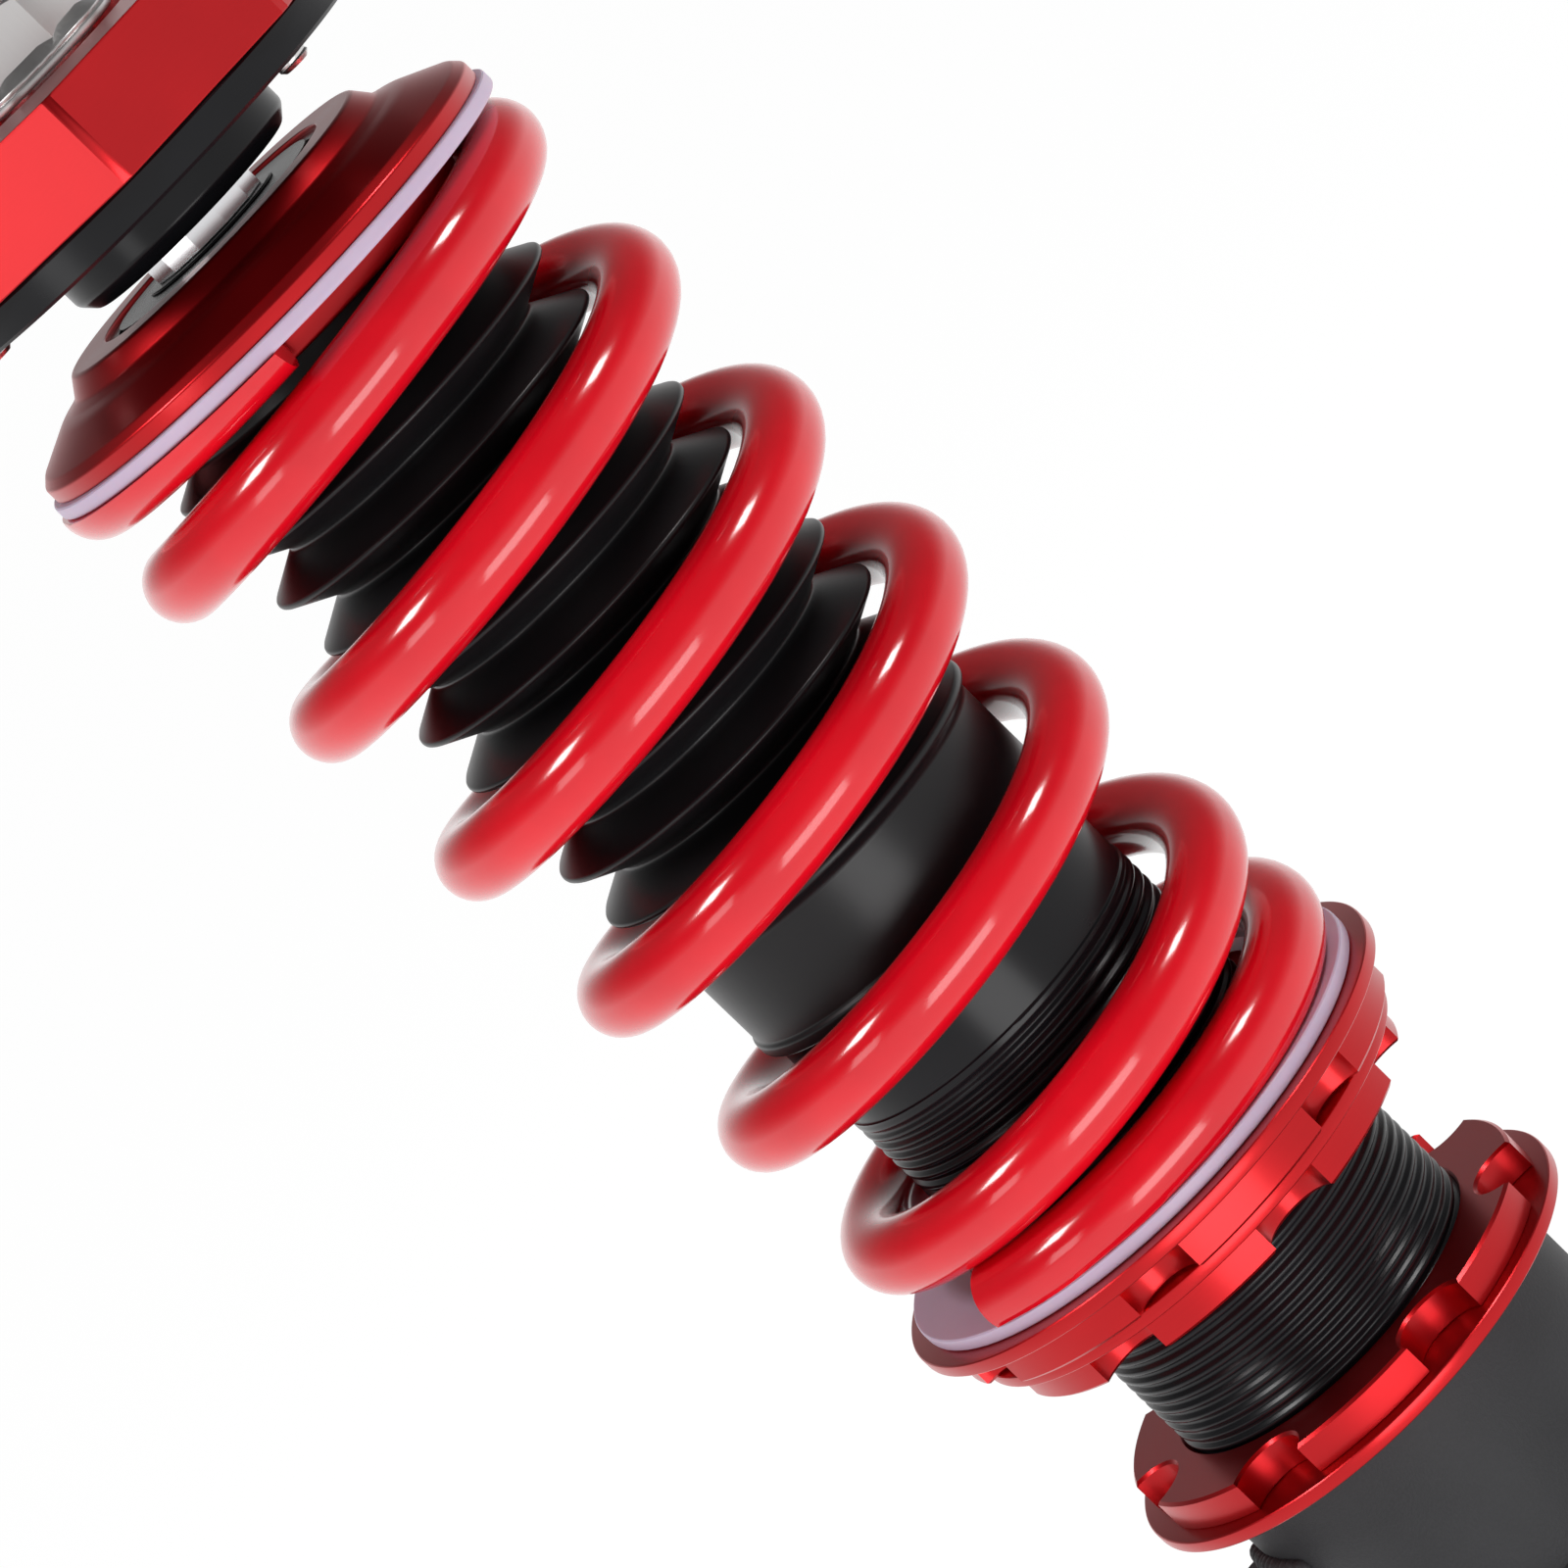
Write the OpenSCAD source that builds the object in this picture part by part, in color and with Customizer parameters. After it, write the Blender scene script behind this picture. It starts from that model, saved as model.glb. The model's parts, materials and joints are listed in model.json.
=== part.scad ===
// Height-adjustable coilover: a monotube damper with a coil spring around it, a pillow-ball
// top mount and a screw-in knuckle bracket.
// Frame: origin on the strut's axis, in the top mount's upper face, +Z up out of that face.
// The knuckle bracket's ears point along +Y.

/* [Spring] */
// Inside diameter of the coils
spring_id = 62; // [60:0.5:63]
// Wire diameter
wire_d = 11.5; // [10:0.5:12]
// Installed length between the two ground ends
spring_len = 167.4; // [165:0.1:170]
// Rise of one active turn
active_pitch = 28.1; // [27.8:0.1:28.4]

/* [Damper] */
// Outside diameter of the body's thread
thread_d = 54; // [53:0.5:54]
// Outside diameter of the plain tube above the thread
tube_d = 53.4; // [52:0.1:53.6]
// Bore of the damper tube
tube_bore_d = 46; // [44:0.5:47]
// Diameter of the piston rod
rod_d = 14; // [13:0.5:15]
// Travel of the rod between its two stops
rod_stroke = 55; // [40:1:55]

/* [Top mount] */
// Width of the octagonal mount across its flats
mount_af = 78; // [76:1:80]
// Height of the octagonal mount
mount_t = 15; // [14:0.5:15]
// Thickness of the round base plate
plate_t = 5; // [4:0.5:6]
// Diameter of the circle that the tower studs stand on
stud_pcd = 65; // [64:0.5:66]
// Diameter of the tower studs
stud_d = 8; // [8:1:8]

/* [Rings] */
// Diameter of the spring perch's flange
perch_flange_d = 89; // [86:0.5:92]
// Diameter of the lock rings' flange
lock_flange_d = 79; // [77:0.5:82]
// Notches for the spanner around each ring
notch_count = 7; // [6:1:8]

/* [Knuckle bracket] */
// Outside diameter of the threaded sleeve
sleeve_d = 61.6; // [61:0.2:63]
// Gap between the two ears
ear_gap = 34; // [30:1:38]
// Diameter of the knuckle bolt holes
knuckle_hole_d = 14.2; // [12.2:0.5:14.2]
// Distance between the knuckle bolts
knuckle_spacing = 51; // [46:1:54]

/* [Hidden] */
$fn = 96;

fit = 0.05;    // radial clearance of a running fit
eps = 0.01;    // overshoot of a cutting tool

// Levels down the strut's axis
plate_z = -mount_t;
retainer_z = plate_z - plate_t;
retainer_h = 7.4;
seat_top_z = -31;
shoulder_z = -31.4;
seat_rim_z = -41.7;
gasket_t = 2.4;
spring_top_z = seat_rim_z - gasket_t;
spring_bot_z = spring_top_z - spring_len;
perch_z = spring_bot_z - gasket_t;
perch_h = 8;
lock_h = 7.5;
lock_flange_t = 2.2;
perch_lock_z = perch_z - perch_h;
sleeve_top_z = -259.7;
sleeve_bot_z = -372.8;
body_top_z = -146;
body_bot_z = -364.8;
thread_top_z = -182.8;
cuff_bot_z = -167;

// Colours
red = [0.75, 0.03, 0.05];
black = [0.06, 0.06, 0.07];
steel = [0.75, 0.75, 0.77];
nylon = [0.78, 0.72, 0.82];
iron = [0.2, 0.2, 0.21];

thread_r = thread_d / 2;
tube_r = tube_d / 2;
bore_r = tube_bore_d / 2;
rod_r = rod_d / 2;
neck_r = 6;         // rod's upper thread
tail_r = 5;         // rod's lower thread
spring_guide_r = spring_id / 2 - 0.5;
gasket_r = 41.8;

// ---------- shared shapes ----------

// Turned solid from an outline of [radius, height] points
module lathe(points) {
    rotate_extrude() polygon(points);
}

module tube(r_out, r_in, z_low, z_high) {
    translate([0, 0, z_low]) difference() {
        cylinder(r = r_out, h = z_high - z_low);
        translate([0, 0, -1]) cylinder(r = r_in, h = z_high - z_low + 2);
    }
}

// Children placed on a circle, the first one at the angle start to the right of -Y
module around(count, radius, start) {
    for (i = [0:count - 1])
        rotate([0, 0, start - 90 + i * 360 / count]) translate([radius, 0, 0]) children();
}

// Collar with a flange at its foot and round spanner notches in its hub
module notched_ring(flange_r, flange_t, hub_r, height, notch_r, notch_at, start) {
    edge = 0.4;
    bore = thread_r + fit;
    lathe([
        [bore, 0], [flange_r - edge, 0], [flange_r, edge], [flange_r, flange_t - edge],
        [flange_r - edge, flange_t], [bore, flange_t]
    ]);
    translate([0, 0, flange_t]) linear_extrude(height - flange_t) difference() {
        circle(r = hub_r);
        circle(r = bore);
        around(notch_count, notch_at, start) circle(r = notch_r, $fn = 48);
    }
}

// ---------- knuckle bracket ----------

module lower_sleeve() {
    color(iron) tube(sleeve_d / 2, thread_r + fit, sleeve_bot_z, sleeve_top_z);
}

plug_t = 7.4;

module sleeve_plug() {
    color(iron) tube(thread_r + fit, 4, sleeve_bot_z, sleeve_bot_z + plug_t);
}

ear_t = 4.5;
ear_reach = 64;
ear_low_z = sleeve_bot_z;
wrap_high_z = -296;   // top of the part that wraps the sleeve
ear_high_z = -286;    // top of the ears
bolt_y = 49;
bolt_mid_z = -334.5;

// Pressed channel: wraps the sleeve's front and runs back as two ears
module channel_outline() {
    inner = sleeve_d / 2;
    ear_x = ear_gap / 2;
    difference() {
        union() {
            circle(r = inner + ear_t);
            for (side = [-1, 1])
                translate([side * (ear_x + ear_t / 2) - ear_t / 2, 0])
                    square([ear_t, ear_reach]);
        }
        circle(r = inner);
        translate([-ear_x, 0]) square([2 * ear_x, ear_reach + 1]);
    }
}

// Side view, [y, z]: the wrap's level top rises to the ears, and the ears' outer corners are cut
module ear_profile() {
    polygon([
        [-50, ear_low_z], [ear_reach - 7, ear_low_z], [ear_reach, ear_low_z + 7],
        [ear_reach, ear_high_z - 9], [ear_reach - 9, ear_high_z],
        [38, ear_high_z], [26, wrap_high_z], [-50, wrap_high_z]
    ]);
}

module knuckle_bracket() {
    color(iron) difference() {
        intersection() {
            translate([0, 0, ear_low_z]) linear_extrude(ear_high_z - ear_low_z) channel_outline();
            translate([-60, 0, 0]) rotate([90, 0, 90]) linear_extrude(120) ear_profile();
        }
        for (side = [-1, 1])
            translate([-60, bolt_y, bolt_mid_z + side * knuckle_spacing / 2])
                rotate([0, 90, 0]) cylinder(d = knuckle_hole_d, h = 120);
    }
}

tab_angle = 190;      // direction of the tab about +Z
tab_top_z = -273;
tab_t = 3;
tab_w = 18;
tab_hole_at = 44;

// Flat lug that carries the brake hose
module brake_hose_tab() {
    color(iron) rotate([0, 0, tab_angle]) translate([0, 0, tab_top_z - tab_t]) difference() {
        union() {
            translate([25, -tab_w / 2, 0]) cube([tab_hole_at - 25, tab_w, tab_t]);
            translate([tab_hole_at, 0, 0]) cylinder(d = tab_w, h = tab_t);
        }
        translate([0, 0, -1]) cylinder(d = sleeve_d, h = tab_t + 2);
        translate([tab_hole_at, 0, -1]) cylinder(d = 10.2, h = tab_t + 2);
    }
}

// ---------- threaded rings ----------

lock_hub_r = 36.9;
lock_notch_r = 6;
lock_notch_at = 36.3;

module body_lock_ring() {
    color(red) translate([0, 0, sleeve_top_z])
        notched_ring(lock_flange_d / 2, lock_flange_t, lock_hub_r, lock_h,
                     lock_notch_r, lock_notch_at, 16.5);
}

module perch_lock_ring() {
    color(red) translate([0, 0, perch_lock_z]) mirror([0, 0, 1])
        notched_ring(lock_flange_d / 2, lock_flange_t, lock_hub_r, lock_h,
                     lock_notch_r, lock_notch_at, 12.3);
}

perch_hub_r = 41.2;
perch_flange_t = 2.3;
perch_notch_r = 5.8;
perch_notch_at = 42.5;
guide_rise = 5;       // height of the collar that centres the spring

module spring_perch() {
    color(red) {
        translate([0, 0, perch_z]) mirror([0, 0, 1])
            notched_ring(perch_flange_d / 2, perch_flange_t, perch_hub_r, perch_h,
                         perch_notch_r, perch_notch_at, 33.9);
        tube(spring_guide_r, thread_r + fit, perch_z, perch_z + guide_rise);
    }
}

module gasket(z_low) {
    color(nylon) tube(gasket_r, spring_guide_r + 0.1, z_low, z_low + gasket_t);
}

module lower_gasket() {
    gasket(perch_z);
}

// ---------- spring ----------

coil_r = (spring_id + wire_d) / 2;
wire_r = wire_d / 2;
first_turn = -0.142;          // the lower wire end, in turns from the front
last_turn = 6.98;             // the upper wire end
closed_pitch = wire_d;
front_z = spring_bot_z + 3.5; // wire centre at the front of the lowest coil
lift_low = 0.72;              // turn where the pitch opens, and how many turns it takes
lift_low_w = 0.4;
lift_high = 5.916;            // turn where the pitch closes again
lift_high_w = 0.3;
rings_per_turn = 34;
wire_sides = 16;

// Integral of a smooth step that starts at turn a and is w turns wide
function opened(n, a, w) =
    let (t = (n - a) / w) w * (t <= 0 ? 0 : t >= 1 ? t - 0.5 : t * t * t - t * t * t * t / 2);

function wire_z(n) =
    front_z + closed_pitch * n
    + (active_pitch - closed_pitch)
    * (opened(n, lift_low, lift_low_w) - opened(n, lift_high, lift_high_w));

function ground(z) = min(max(z, spring_bot_z), spring_top_z);

module spring() {
    rings = round((last_turn - first_turn) * rings_per_turn);
    points = [
        for (i = [0:rings])
            let (n = first_turn + (last_turn - first_turn) * i / rings, a = 360 * n - 90)
            for (k = [0:wire_sides - 1])
                let (b = 360 * (k + 0.5) / wire_sides, r = coil_r + wire_r * cos(b))
                [r * cos(a), r * sin(a), ground(wire_z(n) + wire_r * sin(b))]
    ];
    side_faces = [
        for (i = [0:rings - 1], k = [0:wire_sides - 1])
            let (
                p = i * wire_sides + k,
                q = i * wire_sides + (k + 1) % wire_sides
            )
            for (f = [[p, q, q + wire_sides], [p, q + wire_sides, p + wire_sides]]) f
    ];
    first_cap = [for (k = [wire_sides - 1:-1:0]) k];
    last_cap = [for (k = [0:wire_sides - 1]) rings * wire_sides + k];
    color(red) polyhedron(points, concat(side_faces, [first_cap, last_cap]));
}

// ---------- damper body ----------

module shock_body() {
    color(black) difference() {
        lathe([
            [0, body_bot_z], [thread_r - 1, body_bot_z], [thread_r, body_bot_z + 1],
            [thread_r, thread_top_z - 0.3], [tube_r, thread_top_z],
            [tube_r, body_top_z - 0.6], [tube_r - 0.6, body_top_z], [0, body_top_z]
        ]);
        translate([0, 0, body_bot_z - 1]) cylinder(r = bore_r, h = body_top_z - body_bot_z + 2);
    }
}

cap_t = 9;
plug_r = 4;

module end_cap() {
    color(iron) translate([0, 0, body_bot_z]) difference() {
        cylinder(r = bore_r, h = cap_t);
        translate([0, 0, -1]) cylinder(r = plug_r, h = cap_t + 2);
    }
}

// Filler screw that seals the gas chamber
module gas_plug() {
    color(steel) translate([0, 0, body_bot_z + 0.5]) difference() {
        cylinder(r = plug_r, h = cap_t - 1);
        translate([0, 0, -eps]) cylinder(r = 2.3, h = 3, $fn = 6);
    }
}

guide_bot_z = -172;
guide_top_z = -152;
seal_h = 5;

module rod_guide() {
    color(steel) lathe([
        [rod_r + fit, guide_bot_z], [bore_r - 1, guide_bot_z], [bore_r, guide_bot_z + 1],
        [bore_r, guide_top_z], [rod_r + 5, guide_top_z], [rod_r + 5, guide_top_z - seal_h],
        [rod_r + fit, guide_top_z - seal_h]
    ]);
}

module rod_seal() {
    color(black) tube(rod_r + 5, rod_r + fit, guide_top_z - seal_h, guide_top_z);
}

module wiper_seal() {
    color(black) lathe([
        [rod_r + fit, guide_top_z], [rod_r + 4, guide_top_z], [rod_r + 4, body_top_z - 1],
        [rod_r + 1.2, body_top_z - 0.2], [rod_r + fit, body_top_z - 0.2]
    ]);
}

module gland_nut() {
    color(steel) difference() {
        tube(bore_r, rod_r + 4, guide_top_z, body_top_z - 0.2);
        around(4, 18, 45) translate([0, 0, body_top_z - 4]) cylinder(d = 4, h = 5, $fn = 32);
    }
}

// ---------- dust boot ----------

boot_tip_r = 30.3;
boot_valley_r = 23.5;
boot_wall = 1.3;
fold_pitch = 9.2;
fold_count = 10;
fold_top_z = -55.1;
boot_cuff_r = 28;
boot_collar_r = 24.6;
boot_top_z = -43;

// One side of the bellows from the top fold down, moved in by a wall's thickness for the inside
function bellows(inset) = [
    for (i = [0:fold_count - 1])
        let (z = fold_top_z - i * fold_pitch)
        for (p = [
            [boot_tip_r - inset, z + 0.4], [boot_tip_r - inset, z - 0.4],
            [boot_valley_r - inset, z - fold_pitch / 2 + 0.4],
            [boot_valley_r - inset, z - fold_pitch / 2 - 0.4]
        ]) p
];

module dust_boot() {
    last_z = fold_top_z - fold_count * fold_pitch;
    outside = concat(
        [[boot_collar_r, boot_top_z], [boot_collar_r, fold_top_z + 3.4]],
        bellows(0),
        [[29.5, last_z + 0.5], [29.5, last_z - 1.2], [boot_cuff_r, last_z - 2.2],
         [boot_cuff_r, cuff_bot_z]]
    );
    inside = concat(
        [[boot_collar_r - boot_wall, boot_top_z], [boot_collar_r - boot_wall, fold_top_z + 3.4]],
        bellows(boot_wall),
        [[tube_r, body_top_z - 0.6], [tube_r, cuff_bot_z]]
    );
    color(black) lathe(concat(outside, [for (i = [len(inside) - 1:-1:0]) inside[i]]));
}

// ---------- gas chamber ----------

gas_top_z = -304;
gas_h = 14;
groove_depth = 2;
groove_h = 3;

module floating_piston() {
    r = bore_r - fit;
    mid = gas_top_z - gas_h / 2;
    color(steel) lathe([
        [0, gas_top_z - gas_h + 8], [15, gas_top_z - gas_h + 8], [17, gas_top_z - gas_h],
        [r - 0.8, gas_top_z - gas_h], [r, gas_top_z - gas_h + 0.8],
        [r, mid - groove_h / 2], [r - groove_depth, mid - groove_h / 2],
        [r - groove_depth, mid + groove_h / 2], [r, mid + groove_h / 2],
        [r, gas_top_z - 0.8], [r - 0.8, gas_top_z], [0, gas_top_z]
    ]);
}

module separator_ring() {
    mid = gas_top_z - gas_h / 2;
    color(black) tube(bore_r - fit, bore_r - fit - groove_depth, mid - groove_h / 2, mid + groove_h / 2);
}

// ---------- rod and piston ----------

rod_low_z = -186;
rod_tail_z = -214;
rod_tip_z = 22;
shim_t = 2;
piston_h = 14;
piston_top_z = rod_low_z - shim_t;
piston_bot_z = piston_top_z - piston_h;
needle_r = 2;

module piston_rod() {
    color(steel) difference() {
        lathe([
            [0, rod_tail_z], [tail_r - 0.8, rod_tail_z], [tail_r, rod_tail_z + 0.8],
            [tail_r, rod_low_z], [rod_r, rod_low_z], [rod_r, shoulder_z],
            [neck_r, shoulder_z], [neck_r, rod_tip_z - 1], [neck_r - 1, rod_tip_z],
            [0, rod_tip_z]
        ]);
        translate([0, 0, -182]) cylinder(r = needle_r + fit, h = 210, $fn = 32);
    }
}

module piston() {
    band = 1.2;
    r = bore_r - fit;
    color(steel) difference() {
        lathe([
            [tail_r, piston_bot_z], [r - 1, piston_bot_z], [r, piston_bot_z + 1],
            [r, piston_bot_z + 3], [r - band, piston_bot_z + 3],
            [r - band, piston_top_z - 3], [r, piston_top_z - 3],
            [r, piston_top_z - 1], [r - 1, piston_top_z], [tail_r, piston_top_z]
        ]);
        around(6, 14, 0) translate([0, 0, piston_bot_z - 1]) cylinder(d = 4, h = piston_h + 2, $fn = 32);
    }
}

module piston_band() {
    color(black) tube(bore_r - fit, bore_r - fit - 1.2, piston_bot_z + 3, piston_top_z - 3);
}

// Stack of thin discs, widest against the piston
module shims(z_piston, direction) {
    color(steel) for (i = [0:3])
        translate([0, 0, z_piston + direction * (i + (direction < 0 ? 1 : 0)) * shim_t / 4])
            tube(18 - 2.5 * i, tail_r, 0, shim_t / 4);
}

module rebound_shims() {
    shims(piston_top_z, 1);
}

module compression_shims() {
    shims(piston_bot_z, -1);
}

module piston_nut() {
    color(steel) translate([0, 0, piston_bot_z - shim_t - 8]) difference() {
        cylinder(d = 17.3, h = 8, $fn = 6);
        translate([0, 0, -1]) cylinder(r = tail_r, h = 10);
    }
}

// Urethane ring that meets the rod guide at full droop
module topout_bumper() {
    color(black) tube(12, rod_r, rod_low_z + 2, guide_bot_z - 0.4);
}

cup_top_z = -42;
cup_t = 2.5;
bump_top_z = cup_top_z - cup_t;
bump_len = bump_top_z - body_top_z - rod_stroke - 3.5;

module bump_cup() {
    color(iron) lathe([
        [rod_r, bump_top_z], [18, bump_top_z], [18, bump_top_z - 6], [20, bump_top_z - 6],
        [20, cup_top_z - 1], [19, cup_top_z], [rod_r, cup_top_z]
    ]);
}

module bump_stop() {
    lobe = bump_len / 4;
    color([0.85, 0.7, 0.2]) lathe(concat(
        [[rod_r + 0.4, bump_top_z], [17.5, bump_top_z]],
        [for (i = [0:3])
            let (z = bump_top_z - i * lobe, r = 17.5 - 1.3 * i)
            for (p = [[r, z - 0.3 * lobe], [r, z - 0.6 * lobe], [r - 3.5, z - 0.95 * lobe]]) p],
        [[rod_r + 0.4, bump_top_z - bump_len]]
    ));
}

// ---------- seat bearing ----------

race_t = 2;
thrust_t = 0.4;
ball_r = 1.7;
ball_ring_r = 14;
upper_race_z = shoulder_z - race_t;
ball_z = upper_race_z - fit - ball_r;
lower_race_top = ball_z - ball_r - fit;
seat_floor_z = lower_race_top - race_t;

module thrust_washer() {
    color(black) tube(11.7, neck_r, shoulder_z, shoulder_z + thrust_t);
}

module bearing_upper_race() {
    color(black) tube(18, rod_r, upper_race_z, shoulder_z);
}

module bearing_cage() {
    color([0.7, 0.6, 0.3]) difference() {
        tube(17.5, 9.5, ball_z - 0.6, ball_z + 0.6);
        around(12, ball_ring_r, 0) translate([0, 0, ball_z - 2]) cylinder(r = ball_r, h = 4, $fn = 32);
    }
}

module bearing_balls() {
    color(steel) around(12, ball_ring_r, 0) translate([0, 0, ball_z]) sphere(r = ball_r, $fn = 32);
}

module bearing_lower_race() {
    color(steel) tube(20.5, 9.5, seat_floor_z, lower_race_top);
}

// ---------- upper seat ----------

pocket_r = 20.5;
clip_r = 21.3;
clip_low_z = -33;
clip_high_z = -31.8;
guide_low_z = -48;
cavity_r = 25;

module upper_seat() {
    rim_r = 40.8;
    color(red) lathe([
        [rod_r + fit, seat_rim_z], [cavity_r, seat_rim_z], [cavity_r, guide_low_z],
        [spring_guide_r - 0.5, guide_low_z], [spring_guide_r, guide_low_z + 0.5],
        [spring_guide_r, seat_rim_z], [rim_r - 0.3, seat_rim_z], [rim_r, seat_rim_z + 0.3],
        [rim_r, seat_rim_z + 2.3], [39.6, -38.2], [33.1, -35.1], [31, -34.6], [29.3, -33.9],
        [27, seat_top_z - 0.4], [26.6, seat_top_z], [pocket_r, seat_top_z],
        [pocket_r, clip_high_z], [clip_r, clip_high_z], [clip_r, clip_low_z],
        [pocket_r, clip_low_z], [pocket_r, seat_floor_z], [rod_r + fit, seat_floor_z]
    ]);
}

// Spring clip, open towards -Y
module seat_circlip() {
    open_angle = 14;
    color(black) translate([0, 0, clip_low_z]) difference() {
        cylinder(r = clip_r, h = clip_high_z - clip_low_z);
        translate([0, 0, -1]) cylinder(r = 18.6, h = 4);
        translate([0, 0, -1]) linear_extrude(4)
            polygon([[0, 0], [-40 * tan(open_angle), -40], [40 * tan(open_angle), -40]]);
    }
}

module upper_gasket() {
    gasket(spring_top_z);
}

// ---------- top mount ----------

ball_center_z = -11.8;
pillow_r = 12;
pillow_neck_r = 9;
race_r = 17;
race_half = 6;
washer_z = 0.2;
washer_t = 1.2;

module rod_spacer() {
    color(steel) intersection() {
        tube(10.3, neck_r, shoulder_z + thrust_t, retainer_z);
        translate([0, 0, -40]) rotate([0, 0, 15]) cylinder(r = 10.45, h = 30, $fn = 12);
    }
}

module pillow_ball() {
    color(steel) difference() {
        union() {
            translate([0, 0, ball_center_z]) sphere(r = pillow_r);
            translate([0, 0, retainer_z]) cylinder(r = pillow_neck_r, h = washer_z - retainer_z);
        }
        translate([0, 0, retainer_z - 10]) cylinder(r = pillow_r, h = 10);
        translate([0, 0, retainer_z - 20]) cylinder(r = neck_r + fit, h = 60);
    }
}

module bearing_race() {
    color(steel) translate([0, 0, ball_center_z]) difference() {
        translate([0, 0, -race_half]) cylinder(r = race_r, h = 2 * race_half);
        sphere(r = pillow_r + fit);
    }
}

octagon_start = -3.3;
screw_at = 33;
screw_start = 46.8;
stud_start = 81.8;
screw_r = 2.5;
head_r = 4.25;
head_h = 4.5;
stud_head_r = 5.5;
stud_head_h = 3;
stud_rise = 22;
stud_knurl_r = stud_d / 2 + 0.3;    // the knurled shank that is pressed into the mount

module mount_body() {
    corner_r = mount_af / 2 / cos(22.5);
    color(red) difference() {
        intersection() {
            translate([0, 0, plate_z]) rotate([0, 0, octagon_start - 90])
                cylinder(r = corner_r, h = mount_t, $fn = 8);
            translate([0, 0, plate_z]) cylinder(r = corner_r - 0.3, h = mount_t);
        }
        translate([0, 0, plate_z - 1])
            cylinder(r = race_r, h = ball_center_z + race_half - plate_z + 1);
        translate([0, 0, plate_z - 1]) cylinder(r = 14.6, h = mount_t + 2);
        translate([0, 0, -4.3]) cylinder(r = 16.5, h = 6);
        around(3, screw_at, screw_start) {
            translate([0, 0, plate_z - 1]) cylinder(r = screw_r + 0.2, h = mount_t + 2, $fn = 32);
            translate([0, 0, -head_h - 0.5]) cylinder(r = head_r + 0.25, h = 8, $fn = 32);
        }
        around(3, stud_pcd / 2, stud_start) {
            translate([0, 0, plate_z - 1]) cylinder(r = stud_knurl_r, h = mount_t + 2, $fn = 48);
            translate([0, 0, plate_z - 1]) cylinder(r = stud_head_r, h = stud_head_h + 1, $fn = 48);
        }
    }
}

module base_plate() {
    plate_r = mount_af / 2;
    color(black) difference() {
        lathe([
            [race_r, retainer_z], [plate_r - 0.4, retainer_z], [plate_r, retainer_z + 0.4],
            [plate_r, plate_z - 0.2], [plate_r - 0.2, plate_z], [race_r, plate_z]
        ]);
        around(3, screw_at, screw_start)
            translate([0, 0, retainer_z - 1]) cylinder(r = screw_r, h = plate_t + 2, $fn = 32);
    }
}

module base_screws() {
    screw_end_z = retainer_z - 1.7;
    color(steel) around(3, screw_at, screw_start) difference() {
        lathe([
            [0, screw_end_z], [screw_r - 0.6, screw_end_z], [screw_r, screw_end_z + 0.6],
            [screw_r, -head_h - 0.5], [head_r, -head_h - 0.5], [head_r, -0.9],
            [head_r - 0.4, -0.5], [0, -0.5]
        ]);
        translate([0, 0, -3]) cylinder(r = 2.3, h = 4, $fn = 6);
    }
}

module mount_studs() {
    color(steel) around(3, stud_pcd / 2, stud_start) lathe([
        [0, plate_z], [stud_head_r, plate_z], [stud_head_r, plate_z + stud_head_h],
        [stud_knurl_r, plate_z + stud_head_h], [stud_knurl_r, 0],
        [stud_d / 2, 0], [stud_d / 2, stud_rise - 1],
        [stud_d / 2 - 1, stud_rise], [0, stud_rise]
    ]);
}

// Screwed ring that holds the bearing race up in the mount
module retainer_ring() {
    opening_r = 13.5;
    low_z = retainer_z - retainer_h;
    color(black) lathe([
        [opening_r, low_z], [18, low_z], [19.8, low_z + 2.2], [19.8, retainer_z],
        [race_r, retainer_z], [race_r, ball_center_z - race_half],
        [opening_r, ball_center_z - race_half]
    ]);
}

module top_washer() {
    color(steel) tube(13.2, neck_r, washer_z, washer_z + washer_t);
}

nut_af = 19;
nut_h = 10;
nut_start = 22;

// Hexagon nut with a short flange and turned corners
module top_nut() {
    corner_r = nut_af / 2 / cos(30);
    color(steel) translate([0, 0, washer_z + washer_t]) difference() {
        union() {
            lathe([[0, 0], [12.5, 0], [12.5, 0.6], [10, 2.2], [0, 2.2]]);
            intersection() {
                rotate([0, 0, nut_start - 90]) cylinder(r = corner_r, h = nut_h, $fn = 6);
                lathe([[0, 0], [corner_r + 1, 0], [corner_r + 1, nut_h - 1.6],
                       [corner_r - 1.6, nut_h], [0, nut_h]]);
            }
        }
        translate([0, 0, -1]) cylinder(r = neck_r, h = nut_h + 2);
    }
}

knob_z = rod_tip_z + 1;
knob_h = 9;
knob_r = 7;

module adjuster_knob() {
    color(black) difference() {
        union() {
            lathe([[0, knob_z], [knob_r, knob_z], [knob_r, knob_z + knob_h - 0.8],
                   [knob_r - 0.8, knob_z + knob_h], [0, knob_z + knob_h]]);
            translate([0, 0, knob_z - 3]) cylinder(r = needle_r, h = 4, $fn = 32);
        }
        around(12, knob_r + 0.4, 0)
            translate([0, 0, knob_z + 1]) cylinder(r = 1, h = knob_h, $fn = 24);
    }
}

// Needle that opens and closes the bleed passage at the piston
module adjuster_needle() {
    color(steel) lathe([
        [0, -180], [needle_r, -176], [needle_r, knob_z - 3.5], [0, knob_z - 3.5]
    ]);
}

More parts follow.
